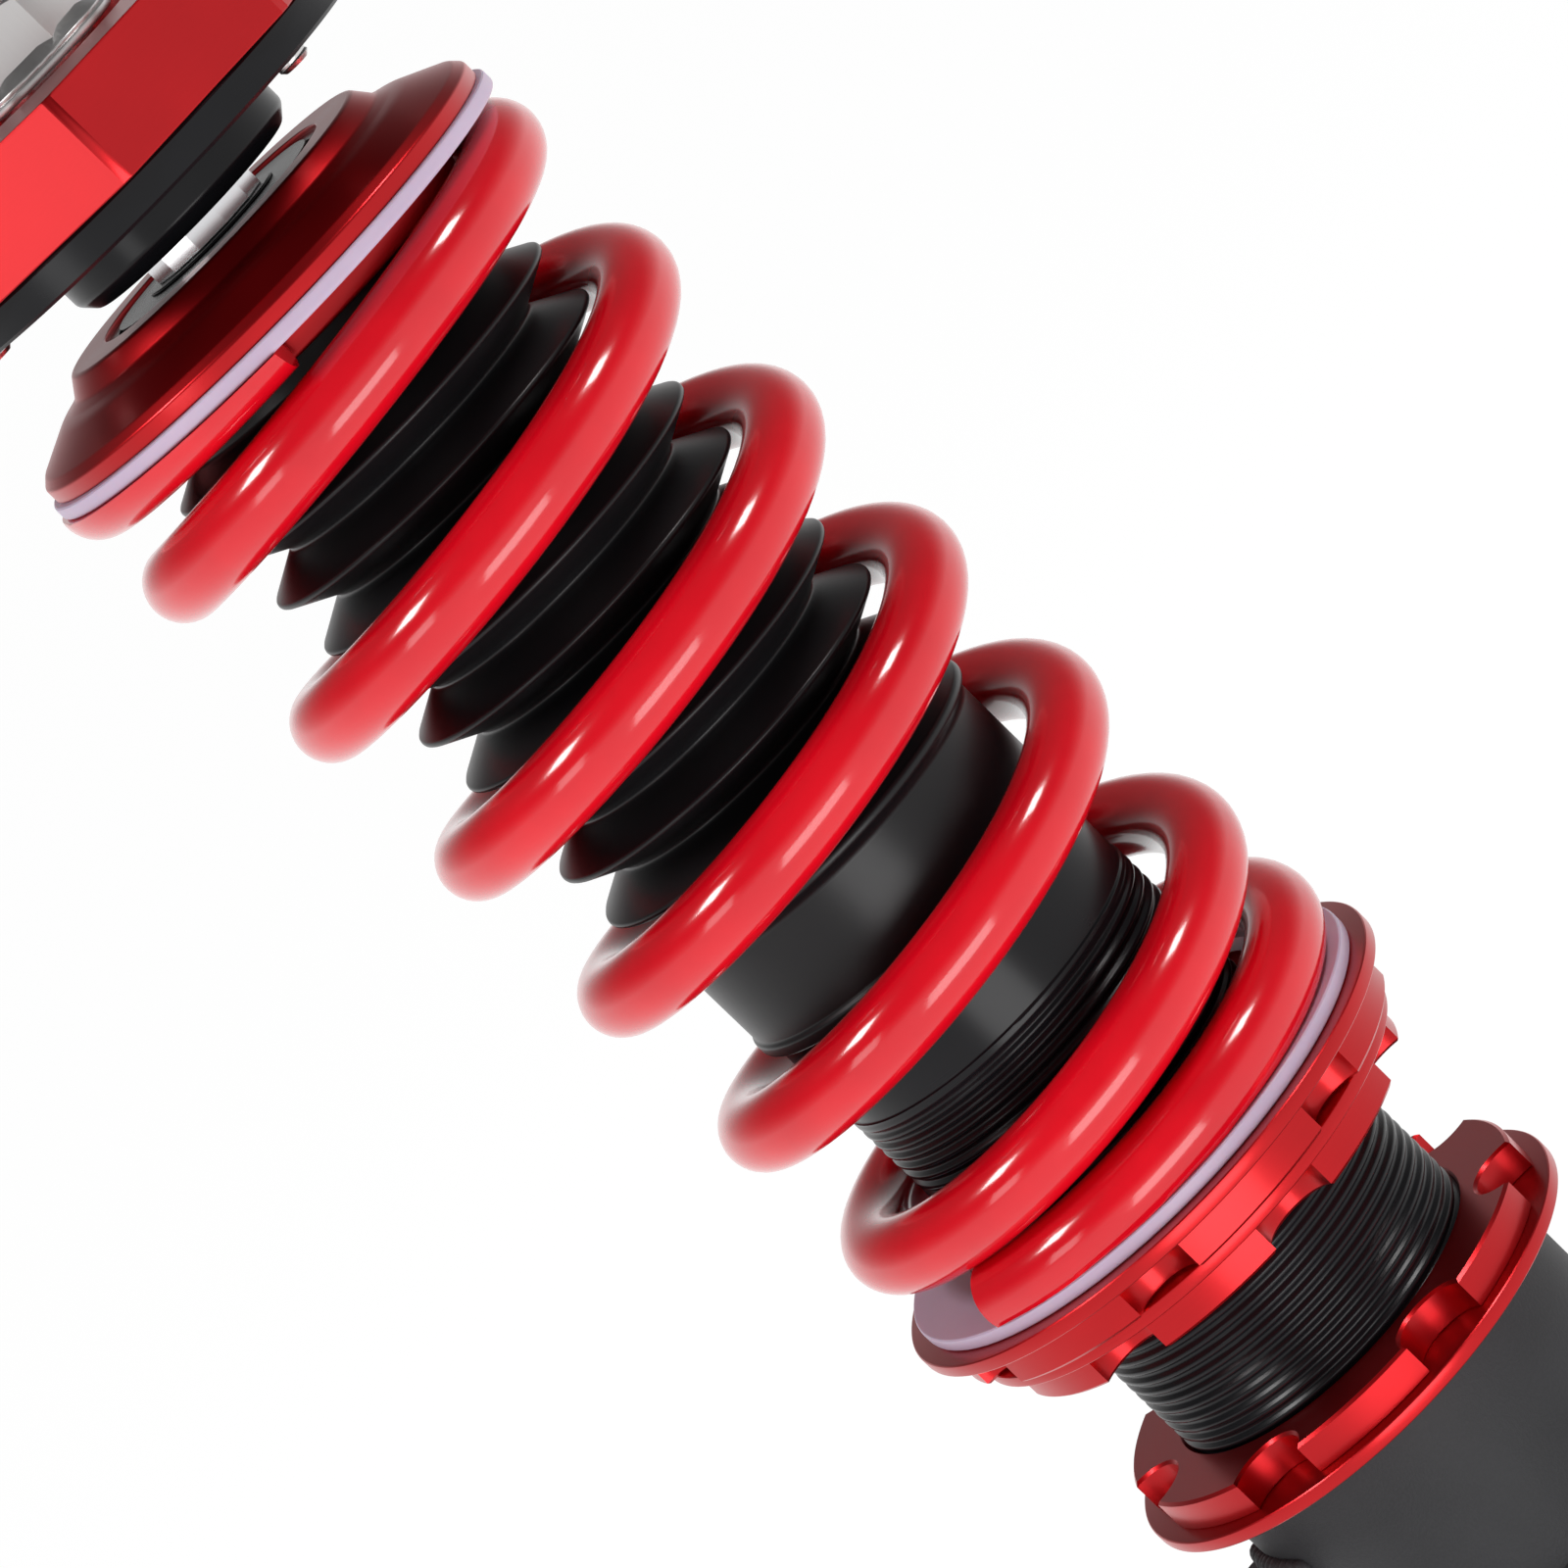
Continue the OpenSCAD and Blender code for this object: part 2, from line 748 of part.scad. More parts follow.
lower_sleeve();
sleeve_plug();
knuckle_bracket();
brake_hose_tab();
body_lock_ring();
shock_body();
end_cap();
gas_plug();
rod_guide();
rod_seal();
wiper_seal();
gland_nut();
lower_gasket();
spring();
dust_boot();
spring_perch();
perch_lock_ring();
floating_piston();
separator_ring();
piston_rod();
piston();
piston_band();
rebound_shims();
compression_shims();
piston_nut();
topout_bumper();
bump_stop();
bump_cup();
thrust_washer();
bearing_upper_race();
rod_spacer();
top_washer();
top_nut();
bearing_cage();
bearing_balls();
upper_seat();
bearing_lower_race();
seat_circlip();
upper_gasket();
pillow_ball();
mount_body();
base_plate();
base_screws();
mount_studs();
bearing_race();
retainer_ring();
adjuster_knob();
adjuster_needle();
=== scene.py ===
"""Builds the looks of a height-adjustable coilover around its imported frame.

The sub-assemblies' lengths are millimetres on the strut's own axis and their meshes are written in
metres. The studio's lengths are metres.
"""

from __future__ import annotations

import json
import logging
import math
from dataclasses import dataclass
from enum import Enum
from typing import Any, Sequence

import bmesh
import bpy
from mathutils import Matrix, Vector
from mathutils.geometry import tessellate_polygon

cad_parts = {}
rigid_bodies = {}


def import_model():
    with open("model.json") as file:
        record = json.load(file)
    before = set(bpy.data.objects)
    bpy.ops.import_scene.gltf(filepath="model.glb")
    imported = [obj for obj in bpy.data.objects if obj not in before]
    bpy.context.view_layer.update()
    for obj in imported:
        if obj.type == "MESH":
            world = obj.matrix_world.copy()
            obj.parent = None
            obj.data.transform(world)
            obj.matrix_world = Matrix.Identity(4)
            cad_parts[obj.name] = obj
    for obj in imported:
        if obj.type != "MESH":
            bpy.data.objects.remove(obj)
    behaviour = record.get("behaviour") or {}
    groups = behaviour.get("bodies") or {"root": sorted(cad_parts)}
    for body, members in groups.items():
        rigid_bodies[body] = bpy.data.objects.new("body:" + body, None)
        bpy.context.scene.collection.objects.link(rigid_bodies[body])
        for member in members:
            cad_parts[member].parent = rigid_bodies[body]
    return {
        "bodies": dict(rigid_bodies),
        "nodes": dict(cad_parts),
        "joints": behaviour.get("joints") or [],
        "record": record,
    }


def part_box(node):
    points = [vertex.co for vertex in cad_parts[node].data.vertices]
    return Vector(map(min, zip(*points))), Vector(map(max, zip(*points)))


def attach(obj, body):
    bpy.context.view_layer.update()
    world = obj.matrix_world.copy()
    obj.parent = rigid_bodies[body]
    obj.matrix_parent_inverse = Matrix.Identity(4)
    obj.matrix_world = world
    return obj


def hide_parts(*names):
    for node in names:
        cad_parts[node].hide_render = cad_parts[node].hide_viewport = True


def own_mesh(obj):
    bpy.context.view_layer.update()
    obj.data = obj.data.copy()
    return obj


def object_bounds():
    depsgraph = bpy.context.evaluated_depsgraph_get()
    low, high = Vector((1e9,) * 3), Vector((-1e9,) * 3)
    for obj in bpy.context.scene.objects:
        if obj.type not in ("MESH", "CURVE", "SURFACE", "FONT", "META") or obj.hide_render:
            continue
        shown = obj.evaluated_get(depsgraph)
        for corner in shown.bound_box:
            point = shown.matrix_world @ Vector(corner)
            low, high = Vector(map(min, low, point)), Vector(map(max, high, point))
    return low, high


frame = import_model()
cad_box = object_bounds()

LOG = logging.getLogger("coilover")
MM = 0.001
TURN = 2 * math.pi

Point2 = tuple[float, float]
Colour = tuple[float, float, float]


# ---------------------------------------------------------------- outlines


def rounded(corners: Sequence[tuple[float, ...]], steps: int = 3) -> list[Point2]:
    """Rounds the corners of a closed outline.

    Args:
        corners: (x, y) or (x, y, cut) points, where cut is how far along each edge the round starts.
        steps: straight pieces in each round.

    Returns:
        The outline's points, in the same order.
    """
    points: list[Point2] = []
    for i, corner in enumerate(corners):
        here = Vector(corner[:2])
        cut = corner[2] if len(corner) > 2 else 0.0
        if cut <= 0:
            points.append((here.x, here.y))
            continue
        before = (Vector(corners[i - 1][:2]) - here).normalized() * cut + here
        after = (Vector(corners[(i + 1) % len(corners)][:2]) - here).normalized() * cut + here
        for k in range(steps + 1):
            t = k / steps
            p = before * (1 - t) ** 2 + here * (2 * t * (1 - t)) + after * t**2
            points.append((p.x, p.y))
    return points


def circle(radius: float, count: int = 96, centre: Point2 = (0.0, 0.0)) -> list[Point2]:
    """Points of a circle, anticlockwise."""
    return [
        (centre[0] + radius * math.cos(TURN * i / count), centre[1] + radius * math.sin(TURN * i / count))
        for i in range(count)
    ]


def from_front(degrees: float) -> float:
    """Angle about +Z, in radians, of a direction given in degrees to the right of -Y."""
    return math.radians(degrees - 90)


def moved_in(loop: Sequence[Point2], distance: float) -> list[Point2]:
    """Moves the edges of a loop to the left of its own direction, mitred at corners.

    Args:
        loop: the points, in order.
        distance: how far the edges move.

    Returns:
        The moved points, in the same order.
    """
    moved: list[Point2] = []
    count = len(loop)
    for i in range(count):
        here = Vector(loop[i])
        incoming = (here - Vector(loop[i - 1])).normalized()
        outgoing = (Vector(loop[(i + 1) % count]) - here).normalized()
        side = Vector((-incoming.y - outgoing.y, incoming.x + outgoing.x))
        side = side / max(side.length_squared / 2, 0.5)
        moved.append((here.x + side.x * distance, here.y + side.y * distance))
    return moved


# ---------------------------------------------------------------- meshes


def placed(name: str, data: Any) -> bpy.types.Object:
    """Puts a new object in the scene.

    Args:
        name: name of the new object.
        data: the mesh, curve, light or camera that it holds.

    Returns:
        The new object, at the origin.
    """
    made = bpy.data.objects.new(name, data)
    bpy.context.scene.collection.objects.link(made)
    return made


def mesh_from(
    name: str, points: Sequence[Sequence[float]], faces: Sequence[Sequence[int]]
) -> bpy.types.Object:
    """Makes a closed mesh with its faces turned outwards.

    Args:
        name: name of the new object.
        points: its corners, in millimetres.
        faces: numbers of each face's corners.

    Returns:
        The new object, in metres.
    """
    mesh = bpy.data.meshes.new(name)
    mesh.from_pydata([[c * MM for c in p] for p in points], [], faces)
    work = bmesh.new()
    work.from_mesh(mesh)
    bmesh.ops.remove_doubles(work, verts=work.verts, dist=1e-7)
    bmesh.ops.recalc_face_normals(work, faces=work.faces)
    work.to_mesh(mesh)
    work.free()
    mesh.update()
    return placed(name, mesh)


def lathe(
    name: str,
    outline: Sequence[Point2],
    columns: int = 144,
    centre: Sequence[float] = (0.0, 0.0, 0.0),
    start: float = 0.0,
) -> bpy.types.Object:
    """Turns a closed (radius, height) outline about the strut's axis.

    Args:
        name: name of the new object.
        outline: the section's points, all at a radius of zero or more.
        columns: faces round the axis.
        centre: where the axis stands.
        start: angle of the first column, in radians.

    Returns:
        The new object.
    """
    points: list[tuple[float, float, float]] = []
    rows: list[list[int]] = []
    for r, z in outline:
        if r < 1e-6:
            rows.append([len(points)] * columns)
            points.append((centre[0], centre[1], z + centre[2]))
            continue
        rows.append(list(range(len(points), len(points) + columns)))
        for i in range(columns):
            angle = start + TURN * i / columns
            points.append((centre[0] + r * math.cos(angle), centre[1] + r * math.sin(angle), z + centre[2]))
    faces: list[tuple[int, ...]] = []
    for upper, lower in zip(rows, rows[1:] + rows[:1]):
        for i in range(columns):
            k = (i + 1) % columns
            corners = list(dict.fromkeys((upper[i], upper[k], lower[k], lower[i])))
            if len(corners) > 2:
                faces.append(tuple(corners))
    return mesh_from(name, points, faces)


def prism(
    name: str,
    outer: Sequence[Point2],
    holes: Sequence[Sequence[Point2]],
    z_low: float,
    z_high: float,
    chamfer: float = 0.4,
) -> bpy.types.Object:
    """A plate with holes, cut square and chamfered along every edge.

    Args:
        name: name of the new object.
        outer: the outside loop, anticlockwise.
        holes: loops of the holes, anticlockwise.
        z_low: height of the lower face.
        z_high: height of the upper face.
        chamfer: width of the chamfers.

    Returns:
        The new object.
    """
    points: list[tuple[float, float, float]] = []
    faces: list[tuple[int, ...]] = []
    caps: dict[bool, list[tuple[list[int], list[Point2]]]] = {False: [], True: []}
    for number, loop in enumerate([outer, *holes]):
        inset = moved_in(loop, chamfer if number == 0 else -chamfer)
        levels = [(inset, z_low), (loop, z_low + chamfer), (loop, z_high - chamfer), (inset, z_high)]
        rows = []
        for level, z in levels:
            rows.append(list(range(len(points), len(points) + len(level))))
            points.extend((x, y, z) for x, y in level)
        for lower, upper in zip(rows, rows[1:]):
            for i in range(len(lower)):
                k = (i + 1) % len(lower)
                faces.append((lower[i], lower[k], upper[k], upper[i]))
        caps[False].append((rows[0], list(inset)))
        caps[True].append((rows[-1], list(inset)))
    for loops in caps.values():
        index = [i for rows, _ in loops for i in rows]
        outlines = [[Vector((x, y, 0)) for x, y in loop] for _, loop in loops]
        faces.extend(tuple(index[i] for i in face) for face in tessellate_polygon(outlines))
    return mesh_from(name, points, faces)


def joined(name: str, parts: Sequence[bpy.types.Object]) -> bpy.types.Object:
    """Joins the meshes of several objects, which are removed.

    Args:
        name: name of the new object.
        parts: the objects.

    Returns:
        The new object.
    """
    work = bmesh.new()
    for part in parts:
        work.from_mesh(part.data)
        bpy.data.objects.remove(part)
    mesh = bpy.data.meshes.new(name)
    work.to_mesh(mesh)
    work.free()
    return placed(name, mesh)


def machined_copy(name: str, source: bpy.types.Object, edge: float) -> bpy.types.Object:
    """A merged copy of a frame node with its edges broken.

    Args:
        name: name of the new object.
        source: the node's object.
        edge: width of the broken edges.

    Returns:
        The new object.
    """
    mesh = source.data.copy()
    work = bmesh.new()
    work.from_mesh(mesh)
    bmesh.ops.remove_doubles(work, verts=work.verts, dist=1e-6)
    bmesh.ops.dissolve_limit(work, angle_limit=math.radians(0.5), verts=work.verts, edges=work.edges)
    work.to_mesh(mesh)
    work.free()
    mesh.name = name
    made = placed(name, mesh)
    bevel = made.modifiers.new("edges", "BEVEL")
    bevel.width = edge * MM
    bevel.segments = 2
    bevel.limit_method = "ANGLE"
    bevel.angle_limit = math.radians(35)
    bevel.harden_normals = True
    return made


def shade(made: bpy.types.Object, sharp: float = 32.0) -> None:
    """Smooths an object's faces and keeps its edges over an angle, in degrees, sharp."""
    for polygon in made.data.polygons:
        polygon.use_smooth = True
    made.data.set_sharp_from_angle(angle=math.radians(sharp))


def weigh_normals(made: bpy.types.Object) -> None:
    """Keeps large faces flat beside their narrow rounds."""
    modifier = made.modifiers.new("normals", "WEIGHTED_NORMAL")
    modifier.keep_sharp = True


# ---------------------------------------------------------------- materials


class Signal:
    """A value in a material or a world, on which Python's operators add Math nodes."""

    def __init__(self, dressing: "Dressing", socket: bpy.types.NodeSocket) -> None:
        """Wraps an output socket of a dressing's tree."""
        self.dressing = dressing
        self.socket = socket

    def _with(self, operation: str, first: Any, second: Any = 0.0) -> "Signal":
        """Adds one Math node."""
        node = self.dressing.node("ShaderNodeMath", {"operation": operation}, {0: first, 1: second})
        return Signal(self.dressing, node.outputs[0])

    def __add__(self, other: Any) -> "Signal":
        """Sum."""
        return self._with("ADD", self, other)

    __radd__ = __add__

    def __sub__(self, other: Any) -> "Signal":
        """Difference."""
        return self._with("SUBTRACT", self, other)

    def __rsub__(self, other: Any) -> "Signal":
        """Difference from a number."""
        return self._with("SUBTRACT", other, self)

    def __mul__(self, other: Any) -> "Signal":
        """Product."""
        return self._with("MULTIPLY", self, other)

    __rmul__ = __mul__

    def __pow__(self, other: Any) -> "Signal":
        """Power."""
        return self._with("POWER", self, other)

    def above(self, level: float, over: float) -> "Signal":
        """0 below a level, rising to 1 over a span."""
        raised = (self - level) * (1 / over)
        return raised._with("MINIMUM", raised._with("MAXIMUM", raised, 0.0), 1.0)


class NodeMaker:
    """Adds nodes to a tree of any kind."""

    def __init__(self, tree: bpy.types.NodeTree) -> None:
        """Takes the tree as it is."""
        self.tree = tree

    def node(self, kind: str, settings: dict[str, Any], sockets: dict[Any, Any]) -> bpy.types.Node:
        """Adds a node.

        Args:
            kind: the node's type.
            settings: its properties, which are set first.
            sockets: values or links of its inputs, by name or number.

        Returns:
            The new node.
        """
        made = self.tree.nodes.new(kind)
        for key, value in settings.items():
            setattr(made, key, value)
        for key, value in sockets.items():
            if isinstance(value, Signal):
                value = value.socket
            if isinstance(value, bpy.types.NodeSocket):
                self.tree.links.new(value, made.inputs[key])
            else:
                made.inputs[key].default_value = value
        return made


class Dressing(NodeMaker):
    """A material's or a world's node tree while it is being made."""

    def __init__(self, tree: bpy.types.NodeTree) -> None:
        """Starts with an emptied tree."""
        super().__init__(tree)
        self.tree.nodes.clear()

    def place(self) -> bpy.types.NodeSocket:
        """The surface point in the object's own coordinates, in metres."""
        return self.node("ShaderNodeTexCoord", {}, {}).outputs["Object"]

    def noise(self, point: Any, scale: float, detail: float = 2.0, rough: float = 0.5) -> Signal:
        """Smooth noise from 0 to 1, with scale in waves a metre."""
        node = self.node(
            "ShaderNodeTexNoise",
            {"noise_dimensions": "3D"},
            {"Vector": point, "Scale": scale, "Detail": detail, "Roughness": rough},
        )
        return Signal(self, node.outputs[0])

    def turning(self, point: Any) -> bpy.types.NodeSocket:
        """Gives a point's distance from the axis and its height, on which noise makes a lathe's rings.

        Args:
            point: the point in the object's own coordinates.

        Returns:
            The two as one vector.
        """
        split = self.node("ShaderNodeSeparateXYZ", {}, {0: point})
        x, y, z = (Signal(self, output) for output in split.outputs)
        radius = (x * x + y * y) ** 0.5
        return self.node("ShaderNodeCombineXYZ", {}, {0: radius, 1: z}).outputs[0]

    def mixed(self, share: Signal, low: Colour, high: Colour) -> bpy.types.NodeSocket:
        """A colour between two, by a share from 0 to 1."""
        node = self.node(
            "ShaderNodeMix",
            {"data_type": "RGBA"},
            {"Factor": share, 6: (*low, 1.0), 7: (*high, 1.0)},
        )
        return node.outputs[2]


def blank_material(name: str) -> tuple[bpy.types.Material, Dressing]:
    """Starts a material.

    Args:
        name: its name.

    Returns:
        The material, and the dressing that fills it.
    """
    material = bpy.data.materials.new(name)
    material.use_nodes = True
    return material, Dressing(material.node_tree)


class Grain(Enum):
    """What the surface shows close up."""

    TURNED = "rings left by a lathe"
    PEEL = "soft waves of a thick gloss coat"
    POWDER = "fine sand of a textured coat"
    MOULDED = "faint mould texture"
    ROLLED = "long scratches of rolled or ground steel"
    FOAM = "open cells"


@dataclass(frozen=True)
class Finish:
    """A surface finish, named as the record's slot."""

    slot: str
    colour: Colour
    # The darker colour: random tone in the drift's low patches, and painted shade in the grain's hollows.
    dark_tone_and_shade: Colour
    roughness: float
    metallic: float = 0.0
    coat: float = 0.0
    coat_roughness: float = 0.05
    grain: Grain = Grain.MOULDED
    waves: float = 800.0
    depth_mm: float = 0.01
    strength: float = 0.3
    roughness_drift: float = 0.06
    subsurface: float = 0.0
    specular: float = 0.5
    drift_waves: float = 45.0
    drift_share: float = 0.6

    def height(self, dressing: Dressing, point: Any) -> Signal:
        """Makes the grain.

        Args:
            dressing: the material's tree.
            point: where the grain is read.

        Returns:
            The grain's height, from 0 to 1.
        """
        if self.grain is Grain.TURNED:
            rings = dressing.turning(point)
            return dressing.noise(rings, self.waves, 3.0, 0.7)
        if self.grain is Grain.POWDER:
            coarse = dressing.noise(point, self.waves, 3.0, 0.65)
            return coarse.above(0.38, 0.3)
        if self.grain is Grain.ROLLED:
            long_way = dressing.node("ShaderNodeMapping", {}, {0: point, 3: (1.0, 1.0, 0.06)})
            return dressing.noise(long_way.outputs[0], self.waves, 4.0, 0.6)
        if self.grain is Grain.FOAM:
            return dressing.noise(point, self.waves, 4.0, 0.7).above(0.45, 0.15)
        return dressing.noise(point, self.waves, 2.0, 0.5)

    def build(self) -> bpy.types.Material:
        """Makes the material.

        Returns:
            The new material.
        """
        material, dressing = blank_material(self.slot)
        point = dressing.place()
        height = self.height(dressing, point)
        drift = dressing.noise(point, self.drift_waves)
        # Painted shade: the colour turns darker where the grain's height is low, in its hollows, pits and
        # cells. The drift's share is random tone.
        tone_and_hollow_shade = drift.above(0.35, 0.35) * self.drift_share + height * (1 - self.drift_share)
        bump = dressing.node(
            "ShaderNodeBump",
            {},
            {"Strength": self.strength, "Distance": self.depth_mm * MM, "Height": height},
        )
        # Both signals average a half, so that the roughness stays round the finish's own.
        rough = drift * self.roughness_drift + height * (self.roughness_drift / 2)
        shader = dressing.node(
            "ShaderNodeBsdfPrincipled",
            {},
            {
                "Base Color": dressing.mixed(tone_and_hollow_shade, self.dark_tone_and_shade, self.colour),
                "Roughness": rough + (self.roughness - 0.75 * self.roughness_drift),
                "Metallic": self.metallic,
                "Coat Weight": self.coat,
                "Coat Roughness": self.coat_roughness,
                "Specular IOR Level": self.specular,
                "Subsurface Weight": self.subsurface,
                "Subsurface Scale": 2 * MM,
                "Normal": bump.outputs[0],
            },
        )
        dressing.node("ShaderNodeOutputMaterial", {}, {0: shader.outputs[0]})
        return material


FINISHES = (
    Finish("spring_red", (0.76, 0.004, 0.014), (0.62, 0.002, 0.011), 0.16, coat=0.4, coat_roughness=0.08,
           grain=Grain.PEEL, waves=260.0, depth_mm=0.05, strength=0.12, specular=0.4),
    Finish("anodised_red", (0.56, 0.006, 0.010), (0.44, 0.004, 0.007), 0.34, metallic=0.9, coat=0.3,
           coat_roughness=0.2, grain=Grain.TURNED, waves=2600.0, depth_mm=0.006, strength=0.35,
           roughness_drift=0.10),
    Finish("black_metal", (0.009, 0.009, 0.011), (0.005, 0.005, 0.006), 0.26,
           grain=Grain.TURNED, waves=1800.0, depth_mm=0.01, strength=0.25, specular=0.22),
    Finish("textured_black", (0.034, 0.034, 0.037), (0.022, 0.022, 0.024), 0.55,
           grain=Grain.POWDER, waves=2200.0, depth_mm=0.06, strength=0.55, specular=0.3),
    Finish("zinc_steel", (0.72, 0.71, 0.70), (0.60, 0.59, 0.59), 0.30, metallic=1.0,
           grain=Grain.ROLLED, waves=1500.0, depth_mm=0.01, strength=0.25),
    Finish("chrome_steel", (0.82, 0.82, 0.83), (0.76, 0.76, 0.78), 0.16, metallic=1.0,
           grain=Grain.TURNED, waves=1500.0, depth_mm=0.004, strength=0.15, roughness_drift=0.03),
    Finish("nylon", (0.60, 0.48, 0.62), (0.53, 0.41, 0.55), 0.42,
           grain=Grain.MOULDED, waves=700.0, depth_mm=0.02, strength=0.2, subsurface=0.15),
    Finish("rubber", (0.009, 0.008, 0.009), (0.005, 0.005, 0.006), 0.34,
           grain=Grain.MOULDED, waves=1200.0, depth_mm=0.02, strength=0.3, specular=0.3),
    Finish("foam", (0.62, 0.46, 0.10), (0.45, 0.32, 0.06), 0.85,
           grain=Grain.FOAM, waves=900.0, depth_mm=0.2, strength=0.6),
    Finish("black_plastic", (0.014, 0.014, 0.015), (0.009, 0.009, 0.010), 0.4,
           grain=Grain.MOULDED, waves=1500.0, depth_mm=0.02, strength=0.3),
    Finish("brass_cage", (0.62, 0.44, 0.17), (0.50, 0.34, 0.12), 0.3, metallic=1.0,
           grain=Grain.TURNED, waves=2000.0, depth_mm=0.006),
    Finish("alloy", (0.70, 0.70, 0.72), (0.60, 0.60, 0.62), 0.28, metallic=1.0,
           grain=Grain.TURNED, waves=2200.0, depth_mm=0.006),
)


# ---------------------------------------------------------------- geometry nodes


class GrowTree(NodeMaker):
    """A Geometry Nodes tree with named inputs, while it is being made."""

    def __init__(self, name: str, inputs: dict[str, str]) -> None:
        """Starts a tree.

        Args:
            name: its name.
            inputs: socket type of each named input.
        """
        super().__init__(bpy.data.node_groups.new(name, "GeometryNodeTree"))
        face = self.tree.interface
        face.new_socket("Geometry", in_out="INPUT", socket_type="NodeSocketGeometry")
        for key, kind in inputs.items():
            face.new_socket(key, in_out="INPUT", socket_type=kind)
        face.new_socket("Geometry", in_out="OUTPUT", socket_type="NodeSocketGeometry")
        self.given = self.node("NodeGroupInput", {}, {}).outputs

    def end(self, geometry: bpy.types.NodeSocket) -> None:
        """Realises the instances, gives them the material and closes the tree.

        Args:
            geometry: the finished geometry.
        """
        real = self.node("GeometryNodeRealizeInstances", {}, {0: geometry})
        dressed = self.node(
            "GeometryNodeSetMaterial", {}, {0: real.outputs[0], "Material": self.given["Material"]}
        )
        self.node("NodeGroupOutput", {}, {0: dressed.outputs[0]})

    def grow(self, name: str, base: bpy.types.Object, values: dict[str, Any]) -> bpy.types.Object:
        """Runs the tree on an object and keeps the result as a plain mesh.

        Args:
            name: name of the new object.
            base: the object that the tree starts from, which is removed.
            values: a value for each named input.

        Returns:
            The new object.
        """
        modifier = base.modifiers.new("grow", "NODES")
        modifier.node_group = self.tree
        for item in self.tree.interface.items_tree:
            if item.in_out == "INPUT" and item.name in values:
                modifier[item.identifier] = values[item.name]
        base.update_tag()
        bpy.context.view_layer.update()
        graph = bpy.context.evaluated_depsgraph_get()
        mesh = bpy.data.meshes.new_from_object(base.evaluated_get(graph))
        mesh.name = name
        bpy.data.objects.remove(base)
        return placed(name, mesh)


def sweep_tree() -> GrowTree:
    """A round wire along a curve, ground flat by two level planes.

    Returns:
        The tree.
    """
    tree = GrowTree(
        "wire_along_curve",
        {
            "Wire Radius": "NodeSocketFloat",
            "Sides": "NodeSocketInt",
            "Low Plane": "NodeSocketFloat",
            "High Plane": "NodeSocketFloat",
            "Material": "NodeSocketMaterial",
        },
    )
    section = tree.node(
        "GeometryNodeCurvePrimitiveCircle",
        {"mode": "RADIUS"},
        {"Resolution": tree.given["Sides"], "Radius": tree.given["Wire Radius"]},
    )
    wire = tree.node(
        "GeometryNodeCurveToMesh",
        {},
        {"Curve": tree.given["Geometry"], "Profile Curve": section.outputs[0], "Fill Caps": True},
    )
    position = tree.node("GeometryNodeInputPosition", {}, {})
    place = tree.node("ShaderNodeSeparateXYZ", {}, {0: position.outputs[0]})
    level = tree.node(
        "ShaderNodeClamp",
        {"clamp_type": "MINMAX"},
        {0: place.outputs[2], 1: tree.given["Low Plane"], 2: tree.given["High Plane"]},
    )
    ground = tree.node(
        "ShaderNodeCombineXYZ", {}, {0: place.outputs[0], 1: place.outputs[1], 2: level.outputs[0]}
    )
    flat = tree.node("GeometryNodeSetPosition", {}, {0: wire.outputs[0], "Position": ground.outputs[0]})
    tree.end(flat.outputs[0])
    return tree


def circle_tree() -> GrowTree:
    """Copies of one item round the strut's axis, each turned to face outwards.

    Returns:
        The tree.
    """
    tree = GrowTree(
        "items_round_axis",
        {
            "Item": "NodeSocketObject",
            "Count": "NodeSocketInt",
            "Radius": "NodeSocketFloat",
            "Start": "NodeSocketFloat",
            "Material": "NodeSocketMaterial",
        },
    )
    ring = tree.node(
        "GeometryNodeMeshCircle", {}, {"Vertices": tree.given["Count"], "Radius": tree.given["Radius"]}
    )
    item = tree.node("GeometryNodeObjectInfo", {}, {"Object": tree.given["Item"], "As Instance": True})
    index = tree.node("GeometryNodeInputIndex", {}, {})
    step = tree.node("ShaderNodeMath", {"operation": "DIVIDE"}, {0: TURN, 1: tree.given["Count"]})
    angle = tree.node("ShaderNodeMath", {"operation": "MULTIPLY"}, {0: index.outputs[0], 1: step.outputs[0]})
    facing = tree.node("ShaderNodeCombineXYZ", {}, {2: angle.outputs[0]})
    copies = tree.node(
        "GeometryNodeInstanceOnPoints",
        {},
        {"Points": ring.outputs[0], "Instance": item.outputs["Geometry"], "Rotation": facing.outputs[0]},
    )
    start = tree.node("ShaderNodeCombineXYZ", {}, {2: tree.given["Start"]})
    turned = tree.node(
        "GeometryNodeTransform", {}, {"Geometry": copies.outputs[0], "Rotation": start.outputs[0]}
    )
    tree.end(turned.outputs[0])
    return tree


def bead_tree() -> GrowTree:
    """A weld: overlapping drops along a curve.

    Returns:
        The tree.
    """
    tree = GrowTree(
        "weld_along_curve",
        {
            "Drop Size": "NodeSocketFloat",
            "Spacing": "NodeSocketFloat",
            "Seed": "NodeSocketInt",
            "Material": "NodeSocketMaterial",
        },
    )
    points = tree.node(
        "GeometryNodeCurveToPoints",
        {"mode": "LENGTH"},
        {"Curve": tree.given["Geometry"], "Length": tree.given["Spacing"]},
    )
    drop = tree.node(
        "GeometryNodeMeshUVSphere", {}, {"Segments": 14, "Rings": 9, "Radius": tree.given["Drop Size"]}
    )
    uneven = tree.node(
        "FunctionNodeRandomValue",
        {"data_type": "FLOAT"},
        {"Min": 0.86, "Max": 1.1, "Seed": tree.given["Seed"]},
    )
    size = next(o for o in uneven.outputs if o.enabled)
    drops = tree.node(
        "GeometryNodeInstanceOnPoints",
        {},
        {"Points": points.outputs[0], "Instance": drop.outputs[0], "Scale": size},
    )
    tree.end(drops.outputs[0])
    return tree


